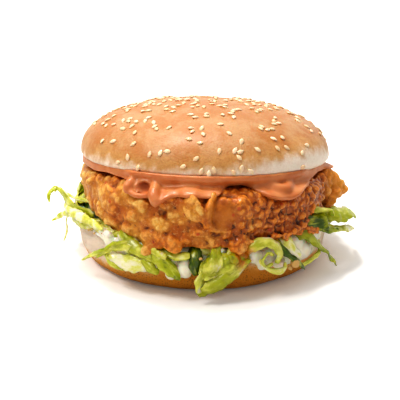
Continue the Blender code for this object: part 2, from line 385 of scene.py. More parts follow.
def lump(centre, outward, width, tall, thick, turn=0.0, knobs=0.16, pick=0):
    """An uneven blob on a surface: width and height along it, thickness out of it, in millimetres."""
    shape = ball_points * (1 + knobs * ball_noise[pick % 12])[:, None]
    shape = shape * np.array([width, tall, thick]) * MM / 2
    out = Vector(outward).normalized()
    right = Vector((0, 0, 1)).cross(out)
    right = right.normalized() if right.length > 0.1 else Vector((1, 0, 0))
    stand = Matrix((right, out.cross(right), out)).transposed()
    return shape @ np.array(stand @ Matrix.Rotation(turn, 3, "Z")).T + np.array(centre), ball_faces


def ringed(outline_of, around):
    """Closed outlines of (radius, height) in millimetres, one at each bearing, joined all round."""
    outlines = [outline_of(bearing) for bearing in around]
    size = len(outlines[0])
    points = np.array([at(bearing, *p) for bearing, outline in zip(around, outlines) for p in outline])
    faces = []
    for column in range(len(around)):
        here = column * size
        there = (column + 1) % len(around) * size
        for step in range(size):
            after = (step + 1) % size
            faces.append((here + step, here + after, there + after, there + step))
    return points, faces


# Height of the lower edge of the sheet, in millimetres, by bearing.
MAYO_EDGE = [
    (-180, 19.5), (-160, 20.5), (-146, 21.0), (-137, 19.0), (-133, 13.5), (-128, 10.8), (-121, 11.2),
    (-112, 13.8), (-107, 13.0), (-103, 9.8), (-99.5, 8.8), (-96, 10.5), (-92, 15.0), (-86, 19.0),
    (-76, 19.0), (-71, 18.0), (-67, 14.6), (-60, 11.0), (-53, 10.3), (-44, 10.0), (-37, 11.0), (-32, 13.5),
    (-26, 19.0), (0, 20.5), (30, 17.0), (50, 19.5), (85, 20.0), (100, 16.0), (120, 19.5), (150, 20.0),
    (165, 17.0), (180, 19.5),
]


def mayo_section(bearing):
    """The closed outline of the mayonnaise at one bearing, as (radius, height) in millimetres."""
    edge = float(np.interp(bearing, *zip(*MAYO_EDGE)))
    wave = noise.noise(Vector((bearing * 0.16, 0, 5)))
    fat = 1.7 + 0.9 * wave
    top = heel_height / MM + 1.9
    outline = [(20.0, top), (52.0, top), (57.0, top + 0.2), (60.0, top - 0.4)]
    outline.append((61.2 + fat * 0.5, top - 2.2))
    for share in (0.2, 0.4, 0.6, 0.8, 1.0):
        level = top - 2.2 - (top - 3.2 - edge) * share
        swell = noise.noise(Vector((bearing * 0.13, level * 0.22, 9))) * 0.9
        outline.append((60.4 + fat + swell, level))
    radius, level = outline[-1]
    under = heel_height / MM + 0.3
    outline += [(radius - 0.5, level - 0.9), (radius - 1.6, level - 0.9), (59.0, level + 0.2)]
    outline += [(58.4, max(level + 1.0, heel_height / MM - 4.0)), (54.0, under), (20.0, under)]
    return outline


mayo_parts = [ringed(mayo_section, np.arange(-180, 180, 1.2))]
# Drops and folds on it: bearing, radius, height, width, how tall, and how thick.
DROPS = [
    (-97, 64.0, 15.0, 7.5, 10.0, 4.0), (-103, 63.5, 12.0, 6.0, 6.5, 3.5), (-84, 62.5, 23.0, 7.0, 4.5, 4.5),
    (-69, 63.5, 19.5, 7.0, 8.0, 4.0), (-66, 64.0, 14.5, 6.0, 5.0, 3.5), (-58, 63.5, 13.5, 8.0, 5.0, 3.0),
    (-116, 63.0, 17.0, 12.0, 7.0, 3.0), (-139, 61.0, 24.5, 7.0, 4.0, 3.5),
    (-134, 61.5, 24.0, 6.0, 4.0, 3.5), (-42, 62.5, 15.0, 8.0, 8.0, 3.0),
]
for index, (bearing, radius, height, *sizes) in enumerate(DROPS):
    spot, outward = at(bearing, radius, height), at(bearing, 1, 0)
    mayo_parts.append(lump(spot, outward, *sizes, knobs=0.12, pick=index))
mayo_skin, mayo_faces, _ = fused(mayo_parts, grain=0.7, rounds=8)


def mayonnaise_finish():
    """Glossy, nearly white, a little cloudy."""
    material, tree, shader = new_finish(
        "mayonnaise", 0.26, Subsurface_Weight=0.4, Subsurface_Scale=0.004, Coat_Weight=0.35,
        Coat_Roughness=0.12
    )
    cloudy = between(tree, speckle(tree, 4.0), 0.35, 0.65)
    tone = mixed(tree, cloudy, seen(250, 238, 212), seen(252, 244, 226))
    tree.links.new(tone, shader.inputs["Base Color"])
    raised(tree, shader, speckle(tree, 2.0, 2.0), 0.2)
    return material


add_piece("mayonnaise", mayo_skin, mayo_faces, mayonnaise_finish(), "mayonnaise_layer")


# ---------------------------------------------------------------------------------------------
# Lettuce: iceberg and leaf lettuce cut into shreds 3 to 12 mm wide, laid in a loose heap on the
# mayonnaise. The weight of the fillet presses them out, and they hang over the rim of the heel.
# ---------------------------------------------------------------------------------------------

leaves = np.random.default_rng(77)


def smooth_line(corners, count):
    """Points evenly spread on a smooth line through the corners."""
    corners = np.array([list(c) for c in corners])
    padded = np.vstack([2 * corners[0] - corners[1], corners, 2 * corners[-1] - corners[-2]])
    line = []
    for t in np.linspace(0, len(corners) - 1 - 1e-9, count):
        k = int(t)
        u = t - k
        a, b, c, d = padded[k : k + 4]
        bend = (2 * a - 5 * b + 4 * c - d) * u**2 + (3 * b - a - 3 * c + d) * u**3
        line.append(0.5 * (2 * b + (c - a) * u + bend))
    return np.array(line)


def shred(line, thick, ruffle, waves, roll, twist):
    """A cut strip of leaf along (bearing, radius, height, width), cupped, ruffled and twisted.

    Returns its points, faces, and for each point how far along and across the strip it is."""
    corners = [list(at(*corner[:3])) for corner in line]
    length = np.linalg.norm(np.diff(np.array(corners), axis=0), axis=1).sum() / MM
    widest_part = max(corner[3] for corner in line)
    count = int(np.clip(8 + length * 1.1, 12, 60))
    across_count = int(np.clip(widest_part * 1.5, 5, 17))
    path = smooth_line([c + [corner[3] * MM] for c, corner in zip(corners, line)], count)
    middle, breadth = path[:, :3], np.maximum(path[:, 3], 0.4 * MM) / 2
    along = np.gradient(middle, axis=0)
    along /= np.linalg.norm(along, axis=1, keepdims=True)
    outward = middle * np.array([1, 1, 0])
    outward /= np.linalg.norm(outward, axis=1, keepdims=True)
    across = np.cross(along, outward + np.array([0, 0, 0.35]))
    across /= np.maximum(np.linalg.norm(across, axis=1, keepdims=True), 1e-9)
    facing = np.cross(across, along)
    s = np.linspace(0, 1, count)
    turn = roll + twist * s
    side = across * np.cos(turn)[:, None] + facing * np.sin(turn)[:, None]
    face = facing * np.cos(turn)[:, None] - across * np.sin(turn)[:, None]
    phase = leaves.uniform(0, 6.28, 4)
    edge = 1 + 0.12 * np.sin(s * length * 0.5 + phase[0]) + 0.08 * np.sin(s * length * 1.4 + phase[3])
    tips = np.minimum(1, np.minimum(s, 1 - s) * 9 + 0.35) ** 0.5
    breadth = breadth * edge * tips
    u = np.linspace(-1, 1, across_count)
    wave = np.sin(s[:, None] * waves * 6.28 + phase[1] + u * 1.1)
    local = breadth[:, None] / MM
    lift = 0.32 * local * (0.4 - u**2) + np.minimum(ruffle, local * 0.4) * wave * np.abs(u) ** 1.4
    lift = lift + 0.3 * ruffle * np.sin(s[:, None] * length * 0.6 + phase[2]) * (1 - u**2)
    grid = middle[:, None] + side[:, None] * (breadth[:, None] * u)[..., None]
    grid = grid + face[:, None] * (lift * MM)[..., None]
    flat = grid.reshape(-1, 3)
    crinkle = cloud(flat, 3.6, phase[0]) * ruffle * 1.2 + cloud(flat, 1.5, phase[1]) * ruffle * 0.5
    grid = grid + face[:, None] * (crinkle.reshape(count, across_count) * MM)[..., None]
    normal = np.cross(np.gradient(grid, axis=0), np.gradient(grid, axis=1))
    normal /= np.maximum(np.linalg.norm(normal, axis=-1, keepdims=True), 1e-12)
    fat = thick * (1 - 0.5 * np.abs(u) ** 2) * np.ones((count, 1)) * MM / 2
    top, bottom = grid + normal * fat[..., None], grid - normal * fat[..., None]
    points = np.vstack([top.reshape(-1, 3), bottom.reshape(-1, 3)])
    half = count * across_count
    faces = []
    for i in range(count - 1):
        for j in range(across_count - 1):
            a = i * across_count + j
            b, c, d = a + 1, a + across_count + 1, a + across_count
            faces += [(a, b, c, d), (half + d, half + c, half + b, half + a)]
    border = [i * across_count for i in range(count)]
    border += [(count - 1) * across_count + j for j in range(1, across_count)]
    border += [i * across_count + across_count - 1 for i in range(count - 2, -1, -1)]
    border += list(range(across_count - 2, 0, -1))
    faces += [(p, q, half + q, half + p) for p, q in zip(border, border[1:] + border[:1])]
    along_mm = np.tile(np.repeat(s * length, across_count), 2)
    across_mm = np.tile((u * breadth[:, None] / MM).ravel(), 2)
    return points, faces, along_mm, across_mm


class Heap:
    """Shreds gathered into one mesh."""

    def __init__(self):
        self.points, self.faces, self.along, self.across, self.green = [], [], [], [], []
        self.total = 0

    def add(self, made, green):
        points, faces, along, across = made
        self.points.append(points)
        self.faces += [[v + self.total for v in f] for f in faces]
        self.along.append(along + leaves.uniform(0, 300))
        self.across.append(across)
        self.green.append(np.full(len(points), green))
        self.total += len(points)

    def piece(self, name, material):
        masks = {"along": self.along, "across": self.across, "green": self.green}
        masks = {k: np.concatenate(v) for k, v in masks.items()}
        points = np.vstack(self.points)
        # Oil from the fillet has run on to the top of the folded leaf.
        gap = np.linalg.norm(points - np.array(at(-74.5, 66, 20.5)), axis=1) / MM
        masks["stain"] = 1 - ramp(gap, 2.0, 8.0)
        return add_piece(name, points, self.faces, material, "lettuce_bed", masks)


def leaf_group():
    """Shared by all the lettuce: fine veins that run along a shred, and its watery pale patches."""
    tree, inside, outside = new_group("leaf_veins", {"Vein Size": 1.4}, ("Veins", "Patches"))
    along, across = mask_value(tree, "along"), mask_value(tree, "across")
    drawn_out = place(tree, "ShaderNodeCombineXYZ", {0: times(tree, along, 0.16), 1: across}).outputs[0]
    vein_scale = maths(tree, "DIVIDE", 1.0, inside["Vein Size"])
    tree.links.new(noise_at(tree, drawn_out, vein_scale, 3.0, 0.6, 0.4), outside["Veins"])
    wide = place(tree, "ShaderNodeCombineXYZ", {0: times(tree, along, 0.5), 1: across}).outputs[0]
    tree.links.new(noise_at(tree, wide, 0.22, 4.0, 0.6), outside["Patches"])
    return tree


leaf_veins = leaf_group()


def leaf_finish(name, dark, fresh, pale, white):
    """Lettuce from white to dark by how green the shred is, with pale veins and a moist shine."""
    material, tree, shader = new_finish(
        name, 0.32, Subsurface_Weight=0.3, Subsurface_Scale=0.003, Coat_Weight=0.35, Coat_Roughness=0.16
    )
    shader.inputs["Subsurface Radius"].default_value = (0.6, 1.0, 0.15)
    drawn = place(tree, "ShaderNodeGroup", {"Vein Size": 1.3}, node_tree=leaf_veins).outputs
    patches = times(tree, less(tree, drawn["Patches"], 0.5), 1.9)
    green = plus(tree, mask_value(tree, "green"), patches)
    leaf = mixed(tree, between(tree, green, 0.0, 0.30), white, pale)
    leaf = mixed(tree, between(tree, green, 0.25, 0.60), leaf, fresh)
    leaf = mixed(tree, between(tree, green, 0.65, 1.0), leaf, dark)
    veined = between(tree, drawn["Veins"], 0.55, 0.72)
    leaf = mixed(tree, times(tree, veined, 0.5), leaf, pale)
    oily = times(tree, mask_value(tree, "stain"), between(tree, speckle(tree, 3.0, 3.0), 0.30, 0.5))
    leaf = mixed(tree, times(tree, oily, 0.9), leaf, seen(204, 118, 12))
    tree.links.new(leaf, shader.inputs["Base Color"])
    raised(tree, shader, drawn["Veins"], 0.35)
    return material


leafy = leaf_finish(
    "lettuce_leaf", seen(72, 94, 2), seen(174, 178, 16), seen(222, 222, 100), seen(242, 238, 200)
)

front_heap, fill_heap = Heap(), Heap()

# The leaves at the front: how green, roll, twist, ruffle, and the line as (bearing, radius,
# height, width) from where it comes out of the heap to its end.
FRONT = [
    # The ribbed leaf that folds down almost to the table, its tongue and its curled left edge.
    (0.60, 0.0, 0.1, 1.5,
     [(-72, 62, 22.5, 6), (-76, 65.5, 20.5, 10), (-81, 67, 18, 12), (-86.5, 67.5, 15.5, 12),
      (-91, 67, 12.5, 8)]),
    (0.42, 0.1, -0.3, 1.2,
     [(-84, 62, 25, 5), (-85, 66.5, 21.5, 7), (-87, 68.2, 17, 7), (-90, 68.4, 12.5, 5)]),
    (0.50, 0.2, 0.2, 0.9,
     [(-72, 65.5, 19, 3), (-77, 67.8, 15.5, 5), (-82, 68.8, 12, 6), (-87.5, 69.2, 8.2, 6.2),
      (-92, 68.5, 4.6, 5)]),
    (0.36, 0.4, 0.4, 0.6,
     [(-88.5, 66, 17, 3), (-90.3, 67.8, 12.5, 5.0), (-91.0, 68.4, 9.0, 6.0), (-91.2, 68.8, 5.8, 5.0)]),
    (1.00, 0.0, 0.2, 0.6, [(-93.5, 60, 24.5, 6), (-93, 65, 21, 6.5), (-93, 66, 17, 5), (-92.5, 66, 13, 3)]),
    (0.70, 0.1, 0.2, 0.6, [(-78, 62, 25, 5), (-78, 66.5, 22, 5.5), (-78.5, 68, 18.5, 4)]),
    # Between the white drips at the left of it.
    (0.62, 0.3, 0.3, 0.5,
     [(-110, 62, 23, 5), (-106, 66.5, 19.5, 7.5), (-102, 67, 15.5, 6), (-98.5, 67, 11, 1.5)]),
    (0.38, -0.3, 0.3, 0.4, [(-113, 62, 23.5, 3), (-108, 66, 21.8, 4), (-104, 66.5, 20.5, 3)]),
    (0.45, 0.3, 0.2, 0.5, [(-107, 62, 23, 3), (-101, 65.5, 21.5, 4), (-95, 65.5, 22, 3.5)]),
    # The long leaf at the left, split into thin strips that cross the side of the heel.
    (0.50, 0.1, 0.2, 0.4,
     [(-112, 63, 20.5, 4), (-120, 64.5, 22, 5), (-127, 65, 21, 4), (-132, 66, 18, 2.4),
      (-140, 66.5, 13, 1.8), (-147, 66.5, 8, 1)]),
    (0.45, 0.3, 0.2, 0.3,
     [(-118, 63.5, 23.5, 2.5), (-125, 64.5, 22.5, 2.5), (-130, 66, 18.5, 1.8), (-136, 66.5, 13.5, 1.2)]),
    (0.55, -0.1, 0.2, 0.6,
     [(-129, 59, 26, 4), (-123, 63, 24.2, 5.5), (-116, 65.2, 21.5, 5), (-109, 66, 18.5, 3)]),
    (0.10, 0.1, 0.1, 0.5,
     [(-134, 64, 15.5, 3), (-127, 65.2, 14.5, 7), (-120, 65.6, 15.5, 8), (-113, 65.6, 16, 7),
      (-107, 65, 17, 3)]),
    (0.48, 0.2, 0.0, 0.3, [(-133, 65, 16.5, 1.5), (-128, 66.4, 13, 2.2), (-122, 66.6, 11.5, 1.2)]),
    (0.52, 0.0, 0.1, 0.3, [(-114, 66, 18, 3), (-110, 66.8, 15, 4), (-107, 66.5, 13, 2)]),
    # The curly ribbon with its inner loop, at the right of the front.
    (0.33, 0.3, 0.1, 0.3,
     [(-72, 63, 20, 3), (-71.5, 66, 24.5, 4.5), (-66.5, 67.2, 27, 5), (-62, 67.8, 24.5, 5), (-60, 68, 20, 5),
      (-61.5, 67.5, 16, 3.5)]),
    (0.50, 0.9, 0.0, 0.2,
     [(-63, 67.4, 20, 2.2), (-65.5, 68, 21.4, 2.2), (-67.6, 68, 18.5, 2.4), (-66, 68, 15.8, 2.4),
      (-63.4, 67.8, 16.5, 2.2)]),
    (0.22, 0.3, 0.3, 0.3,
     [(-68.4, 67, 19, 2), (-66, 68.6, 15, 2.8), (-62, 68.8, 12.6, 2.8), (-58.3, 68, 13, 2),
      (-57.5, 67.3, 15.5, 1.5)]),
    (1.00, 0.2, 0.3, 0.4,
     [(-64, 61, 26, 4), (-60.5, 65, 24, 5.5), (-56, 66.5, 19.5, 5), (-51, 67, 14, 3.5),
      (-46.5, 66.5, 8.8, 1)]),
    (0.15, -0.2, 0.3, 0.4,
     [(-58, 61.5, 25.5, 4), (-55.5, 65.5, 23.5, 5.5), (-52.5, 67, 19.5, 5), (-49, 66.8, 15.5, 2)]),
    (0.42, 0.3, 0.1, 0.3,
     [(-49, 65.8, 10.5, 1.6), (-43, 66.5, 12, 2), (-37, 66, 14, 1.8), (-34, 63.5, 18, 1.5)]),
    # The right: the long strip, the rolled green leaf, and the pieces that stick out.
    (0.72, 0.1, 0.3, 0.5,
     [(-46, 58, 27, 8), (-41.5, 63, 23.5, 8.5), (-38, 65, 18.5, 5), (-32.5, 67.5, 11.5, 2.4),
      (-29, 68.5, 7, 2), (-26, 69, 3.2, 1)]),
    (0.95, 0.0, 0.5, 0.7, [(-46, 58, 27, 7), (-40, 63.5, 28, 9), (-33, 65, 27.5, 8.5), (-27, 64.5, 25, 6)]),
    (0.42, 0.6, 0.4, 0.5, [(-40, 57, 33, 3), (-34, 62.5, 33, 4), (-29, 65.5, 31, 4), (-26, 66, 27.5, 3)]),
    (0.62, 0.2, 0.6, 0.7, [(-30, 61, 27.5, 5), (-22, 67, 27, 8), (-12, 70, 24, 8), (-4, 71.5, 20, 4)]),
    (0.30, 0.3, 0.2, 0.4,
     [(-28, 63, 23, 3.5), (-19, 68, 18.5, 3.5), (-8, 71, 14.5, 3), (0, 72, 10.5, 1.5)]),
    (0.70, 0.5, 0.3, 0.5, [(-36, 60, 25, 4), (-30, 66, 22, 4), (-24, 68, 20, 3)]),
    # The pale tuft at the left, with thin strips that curl up and hang down.
    (0.48, 0.2, 0.4, 0.4,
     [(-150, 58, 27, 4.5), (-166, 63, 26.5, 4), (180, 68.5, 28.5, 3.6), (178, 71.8, 29.5, 3.2),
      (179, 74.3, 27, 3), (-179, 74.3, 24, 2.2)]),
    (0.25, 0.3, 0.2, 0.2, [(-152, 58, 33, 1.8), (-168, 63.5, 31, 1.6), (180, 68.5, 30.8, 0.9)]),
    (0.22, 0.1, 0.2, 0.6,
     [(178, 66.5, 22.5, 2.5), (-168, 65.5, 24.5, 4.0), (-156, 64, 26.5, 4.5), (-146, 63.2, 27, 4.0),
      (-136, 63, 26, 2.5)]),
    (0.30, 0.2, 0.3, 0.4, [(-154, 62, 27, 3.5), (-176, 66.5, 19.5, 3.2), (178, 73.5, 13, 1)]),
    (0.15, 0.3, 0.5, 0.2,
     [(-168, 63.5, 23, 2.2), (180, 66, 16, 1.6), (179, 66.3, 9, 1.4), (-179, 67.8, 3.6, 0.8)]),
    (0.40, 0.1, 0.2, 0.6,
     [(-142, 58, 25, 5), (-150, 62.5, 24, 5.5), (-160, 63.5, 22.5, 5), (-170, 63, 21, 3)]),
]
for green, roll, twist, ruffle, line in FRONT:
    front_heap.add(shred(line, 0.5, ruffle, 1.6, roll, twist), green)


def loose_shred(line, least_roll, most_roll):
    """A shred whose thickness, ruffle, waves, roll and twist are left to chance."""
    thick, ruffle, waves = leaves.uniform(0.5, 0.9), leaves.uniform(0.4, 0.9), leaves.uniform(1, 2.5)
    roll, twist = leaves.uniform(least_roll, most_roll), leaves.uniform(-0.8, 0.8)
    return shred(line, thick, ruffle, waves, roll, twist)


# The rest of the heap: 140 shreds round the sides and the back, and 25 tucked in at the front,
# under the fillet.
for index in range(165):
    back = index < 140
    bearing = leaves.uniform(4, 176) if back else leaves.uniform(-160, -24)
    sweep = leaves.uniform(8, 22) * leaves.choice([-1, 1])
    radius = leaves.uniform(59, 64) if back else leaves.uniform(57.5, 61.5)
    height = leaves.uniform(20, 29) if back else leaves.uniform(22.5, 25.5)
    radius -= max(0.0, height - 24.5) * 0.8
    drop = leaves.uniform(0, 5) if back else leaves.uniform(0, 2.0)
    width = leaves.uniform(3, 8) if back else leaves.uniform(3, 5)
    line = [
        (bearing, radius - 4, height + leaves.uniform(0, 1.5), width * 0.8),
        (bearing + sweep * 0.35, radius + leaves.uniform(-0.5, 1), height + leaves.uniform(-1, 1), width),
        (bearing + sweep * 0.7, radius + leaves.uniform(-0.5, 1.5), height - drop * 0.5, width),
        (bearing + sweep, radius - leaves.uniform(0, 2), height - drop, width * 0.5),
    ]
    made = loose_shred(line, -0.6, 0.9)
    fill_heap.add(made, leaves.uniform(0.05, 0.95) if back else leaves.uniform(0.0, 0.5))
# Those that hang down over the heel at the sides and the back.
for _ in range(60):
    bearing = leaves.uniform(6, 172)
    drift = leaves.uniform(-16, 16)
    reach = leaves.uniform(62.0, 67.5)
    fall = leaves.uniform(11, 24)
    width = leaves.uniform(2.5, 7)
    line = [
        (bearing, 54, 25.0, width * 0.7),
        (bearing + drift * 0.3, 60.0, 24.5, width),
        (bearing + drift * 0.7, reach - 0.5, 21.5, width),
        (bearing + drift, reach, fall, width * 0.35),
    ]
    fill_heap.add(loose_shred(line, -0.4, 0.4), leaves.uniform(0.05, 0.95))

front_heap.piece("lettuce_front_leaves", leafy)
fill_heap.piece("lettuce_shreds", leafy)

# What fills the middle of the heap, deep in shade between the shreds. Its finish is a darker
# copy of the leaves' finish: painted shade.
heap_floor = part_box("mayonnaise_layer")[1][2] + 0.3 * MM
heap_profile = [
    (0, heap_floor),
    (50 * MM, heap_floor),
    (57 * MM, heel_height + 0.8 * MM),
    (58.5 * MM, heel_height + 1.4 * MM),
    (56 * MM, heel_height + 3.0 * MM),
    (50 * MM, heel_height + 4.2 * MM),
    (0, heel_height + 6.0 * MM),
]
heap_points, heap_faces = turned(spaced(heap_profile, 1.5 * MM), 160)
heap_points = heap_points * (1 + cloud(heap_points, 5, 2.0) * 0.012)[:, None]
core_masks = {
    "along": bearings(heap_points),
    "across": np.hypot(heap_points[:, 0], heap_points[:, 1]) / MM,
    "green": 0.8 + cloud(heap_points, 7, 5.0) * 0.5,
}
# The same lettuce finish in darker colours: painted shade.
painted_shade_lettuce = leaf_finish(
    "lettuce_heap", seen(50, 74, 4), seen(110, 126, 14), seen(160, 168, 64), seen(200, 198, 150)
)
add_piece("lettuce_heap_core", heap_points, heap_faces, painted_shade_lettuce, "lettuce_bed", core_masks)


# ---------------------------------------------------------------------------------------------
# Fillet: chicken in thick batter, deep fried. The batter set in lumps, curled flakes and fine
# nodules: big pale lumps at the left, small dark crisp ones at the right. It is one body.
# ---------------------------------------------------------------------------------------------


def arrays_of(mesh):
    """Points and faces of a mesh, with points at the same place joined."""
    bm = bmesh.new()
    bm.from_mesh(mesh)
    bmesh.ops.remove_doubles(bm, verts=bm.verts, dist=1e-6)
    bm.verts.index_update()
    points = np.array([v.co for v in bm.verts])
    faces = [[v.index for v in f.verts] for f in bm.faces]
    bm.free()
    return points, faces


fillet_points, fillet_solid_faces = arrays_of(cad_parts["chicken_fillet"].data)
fillet_solid = BVHTree.FromPolygons(fillet_points.tolist(), fillet_solid_faces)
fillet_low, fillet_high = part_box("chicken_fillet")
batter = np.random.default_rng(41)
# noise_vector, which bends the nodules, would differ from run to run without a seed.
noise.seed_set(41)


def on_fillet(bearing, height):
    """The point of the fillet's side at a bearing and height, and the way out of it there."""
    start = at(bearing, 90, height)
    hit, out, _, _ = fillet_solid.ray_cast(start, Vector((-start.x, -start.y, 0)).normalized())
    if not hit:
        hit, out, _, _ = fillet_solid.find_nearest(at(bearing, 58, height))
    return hit, out


def crisp_at(bearing):
    """0 where the batter is smooth and pale, 1 where it is dark, fine and crisp."""
    return np.clip(0.1 + bump(bearing, -45, 40) + 0.35 * bump(bearing, 95, 70), 0, 1)


# Lumps that stand out: bearing, height, width, how tall, and how thick.
LUMPS = [
    (-153, 48.5, 6.0, 5.0, 5.0), (-146, 50.5, 5.5, 5.0, 5.0), (-140, 51.5, 5.0, 5.0, 5.0),
    (-134, 52.0, 6.0, 5.5, 5.0), (-129, 52.0, 6.0, 5.5, 5.0), (-124, 51.5, 5.0, 5.0, 4.5),
    (-135, 41.0, 19.0, 14.0, 7.0), (-126, 47.0, 8.5, 6.0, 5.5), (-117, 43.0, 10.0, 7.0, 6.5),
    (-104, 44.0, 10.0, 8.5, 6.0), (-102, 39.0, 7.0, 6.0, 5.0), (-95, 45.0, 9.0, 8.0, 5.5),
    (-74, 46.5, 5.5, 4.5, 4.5), (-66, 44.0, 4.5, 4.0, 4.5), (-61, 44.0, 4.0, 4.5, 4.5),
    (-63, 40.0, 4.5, 4.0, 4.5), (-58, 39.5, 4.5, 4.5, 4.5), (-53, 40.0, 4.0, 4.0, 4.5),
    (-49, 39.0, 4.5, 5.0, 4.5), (-65, 37.0, 4.0, 3.5, 4.5), (-60, 34.5, 5.0, 4.0, 4.5),
    (-55, 34.0, 4.5, 4.0, 4.5), (-50, 34.0, 5.0, 4.5, 4.5), (-45, 33.0, 4.5, 5.0, 4.5),
    (-50, 28.0, 6.0, 5.0, 5.0), (-56, 29.5, 4.5, 4.0, 4.5), (-45, 25.0, 5.5, 5.5, 5.0),
    (-68, 34.0, 6.0, 4.5, 4.5), (-76, 35.0, 6.5, 5.5, 5.0), (-81, 30.5, 6.5, 5.0, 5.0),
    (-76, 28.0, 5.0, 4.5, 4.0), (-71, 33.0, 5.0, 4.5, 4.5), (-98, 28.0, 7.5, 5.0, 4.5),
    (-85, 27.0, 9.0, 7.0, 5.5), (-112, 27.5, 16.0, 11.0, 6.5), (-124, 28.0, 7.5, 9.0, 6.0),
    (-133, 30.0, 11.0, 9.0, 6.0), (-140, 33.0, 9.0, 8.0, 6.0), (-108, 35.0, 13.0, 8.0, 5.5),
    (-91, 31.5, 9.0, 7.0, 5.5), (-122, 36.0, 10.0, 7.0, 5.5), (-38, 43.0, 5.5, 5.0, 4.5),
    (-32, 42.0, 5.0, 4.0, 4.5), (-22, 39.0, 6.0, 4.5, 4.5), (-13, 37.0, 9.0, 6.0, 5.0),
    (-5, 35.0, 10.0, 5.0, 5.0), (-2, 32.5, 9.0, 5.5, 5.5), (5, 31.0, 8.0, 6.0, 5.5),
    (-27, 35.5, 8.0, 4.5, 4.5), (-36, 35.0, 7.0, 6.0, 4.5),
]
solid_out = vertex_normals(fillet_points, [tuple(f) for f in fillet_solid_faces])
batter_parts = [(fillet_points - solid_out * 1.1 * MM, fillet_solid_faces)]
for index, (bearing, height, width, tall, thick) in enumerate(LUMPS):
    where, out = on_fillet(bearing, height)
    # They stand prouder on the wing and at the left, where the batter is thick.
    proud = 0.9 if bearing > -30 or bearing < -98 else 0.3
    centre = where - out * (thick / 2 - proud) * MM
    batter_parts.append(lump(centre, out, width, tall, thick, knobs=0.34, pick=index))
# Chance lumps between them: 90 broad ones, then small ones, and the last 90 of those in front.
for index in range(260):
    bearing = batter.uniform(-28, 212) if index < 170 else batter.uniform(-150, -30)
    height = batter.uniform(fillet_low[2], fillet_high[2]) / MM
    where, out = on_fillet(bearing, max(height, 30 if index >= 170 else 0))
    size = batter.uniform(5, 13) if index < 90 else batter.uniform(2.6, 5)
    size *= 1 - 0.35 * crisp_at(bearing)
    thick = min(5.5, size * 0.8)
    centre = where - out * (thick / 2 + batter.uniform(-0.3, 0.7)) * MM
    tall, turn = size * batter.uniform(0.6, 0.9), batter.uniform(0, pi)
    batter_parts.append(lump(centre, out, size, tall, thick, turn, 0.22, index))


def bead_line(parts, line, thick, count, pick=0):
    """Adds overlapping balls along a smooth line of points: a rounded ridge or rim."""
    for index, point in enumerate(smooth_line(line, count)):
        outward = (point[0], point[1], 0)
        parts.append(lump(point, outward, thick, thick, thick, knobs=0.12, pick=pick + index))


def off_fillet(bearing, height, proud):
    """A point that far out of the fillet's side, in millimetres."""
    where, out = on_fillet(bearing, height)
    return where + out * proud * MM


# The big curled flake at the front and the petal beside it: bearing, height, width, how tall,
# how thick, and how far they stand proud. Each has a rolled rim.
PETALS = [
    (-80.5, 40.5, 17.0, 14.5, 7.0, 1.1), (-74.5, 42.0, 12.0, 12.0, 6.5, 0.9),
    (-83.0, 36.5, 10.0, 7.0, 5.5, 0.7), (-93.5, 44.0, 9.0, 12.0, 5.5, 1.0),
]
for index, (bearing, height, width, tall, thick, proud) in enumerate(PETALS):
    where, out = on_fillet(bearing, height)
    centre = where - out * (thick / 2 - proud) * MM
    batter_parts.append(lump(centre, out, width, tall, thick, 0.3, 0.14, index + 4))
flake_rim = [(-86, 48, 0.3), (-87.6, 44, 0.9), (-88.4, 40, 1.0), (-88.4, 36.5, 0.5)]
flake_rim += [(-85.5, 34, -0.2), (-80, 32.6, -0.8)]
bead_line(batter_parts, [off_fillet(*r) for r in flake_rim], 3.4, 44)
petal_rim = [(-95.5, 49, 0.2), (-93, 46.5, 0.6), (-91, 42, 0.8), (-89.8, 38, 0.4), (-88.8, 35.5, 0.0)]
bead_line(batter_parts, [off_fillet(*r) for r in petal_rim], 3.2, 36, 5)
# The wing at the right, standing out past the heel, and the nugget at the front left: bearing,
# radius, height, width, how tall, and how thick.
WING = [
    (-9, 57.5, 41.0, 9, 8, 9), (-7, 60.5, 38.0, 9, 7, 9), (-5, 63.5, 34.5, 8, 6, 8),
    (-4, 66.0, 31.8, 6, 4.5, 6), (-8, 63.0, 32.0, 9, 7, 8), (-12, 60.0, 29.0, 9, 7, 8),
    (-3, 60.5, 35.0, 9, 9, 10), (-15, 57.5, 35.0, 8, 9, 9), (-17, 56.5, 40.5, 6, 6, 7),
    (-113, 63.5, 21.2, 6.5, 5.5, 6.0), (-109.5, 62.0, 22.5, 5.0, 4.5, 5.0),
]
for index, (bearing, radius, height, *sizes) in enumerate(WING):
    spot, outward = at(bearing, radius, height), at(bearing, 1, 0)
    batter_parts.append(lump(spot, outward, *sizes, knobs=0.22, pick=index))
# The thin frilled lower edge at the right.
frill = [(-74, 25.5, 0.3), (-71, 26.7, 0.9), (-66, 27.0, 1.3), (-61, 27.9, 1.3)]
frill += [(-56, 27.0, 1.2), (-51, 27.8, 1.0), (-46, 28.0, 0.8), (-42, 30, 0.4)]
bead_line(batter_parts, [off_fillet(*r) for r in frill], 2.2, 60, 2)

fillet_skin, fillet_faces, fillet_net = fused(batter_parts, grain=0.62, rounds=2)


def nodules(points, size, shift):
    """Rounded nodules of about that size in millimetres: 0 in the creases, 1 on the tops."""
    step = 1 / (size * MM)
    values = []
    for point in points:
        spot = Vector(point) * step + Vector((shift, 0, shift))
        spot = spot + noise.noise_vector(spot * 1.3) * 0.35
        near = noise.voronoi(spot)[0]
        values.append(min(1.0, (near[1] - near[0]) * 1.5))
    return np.sqrt(values)


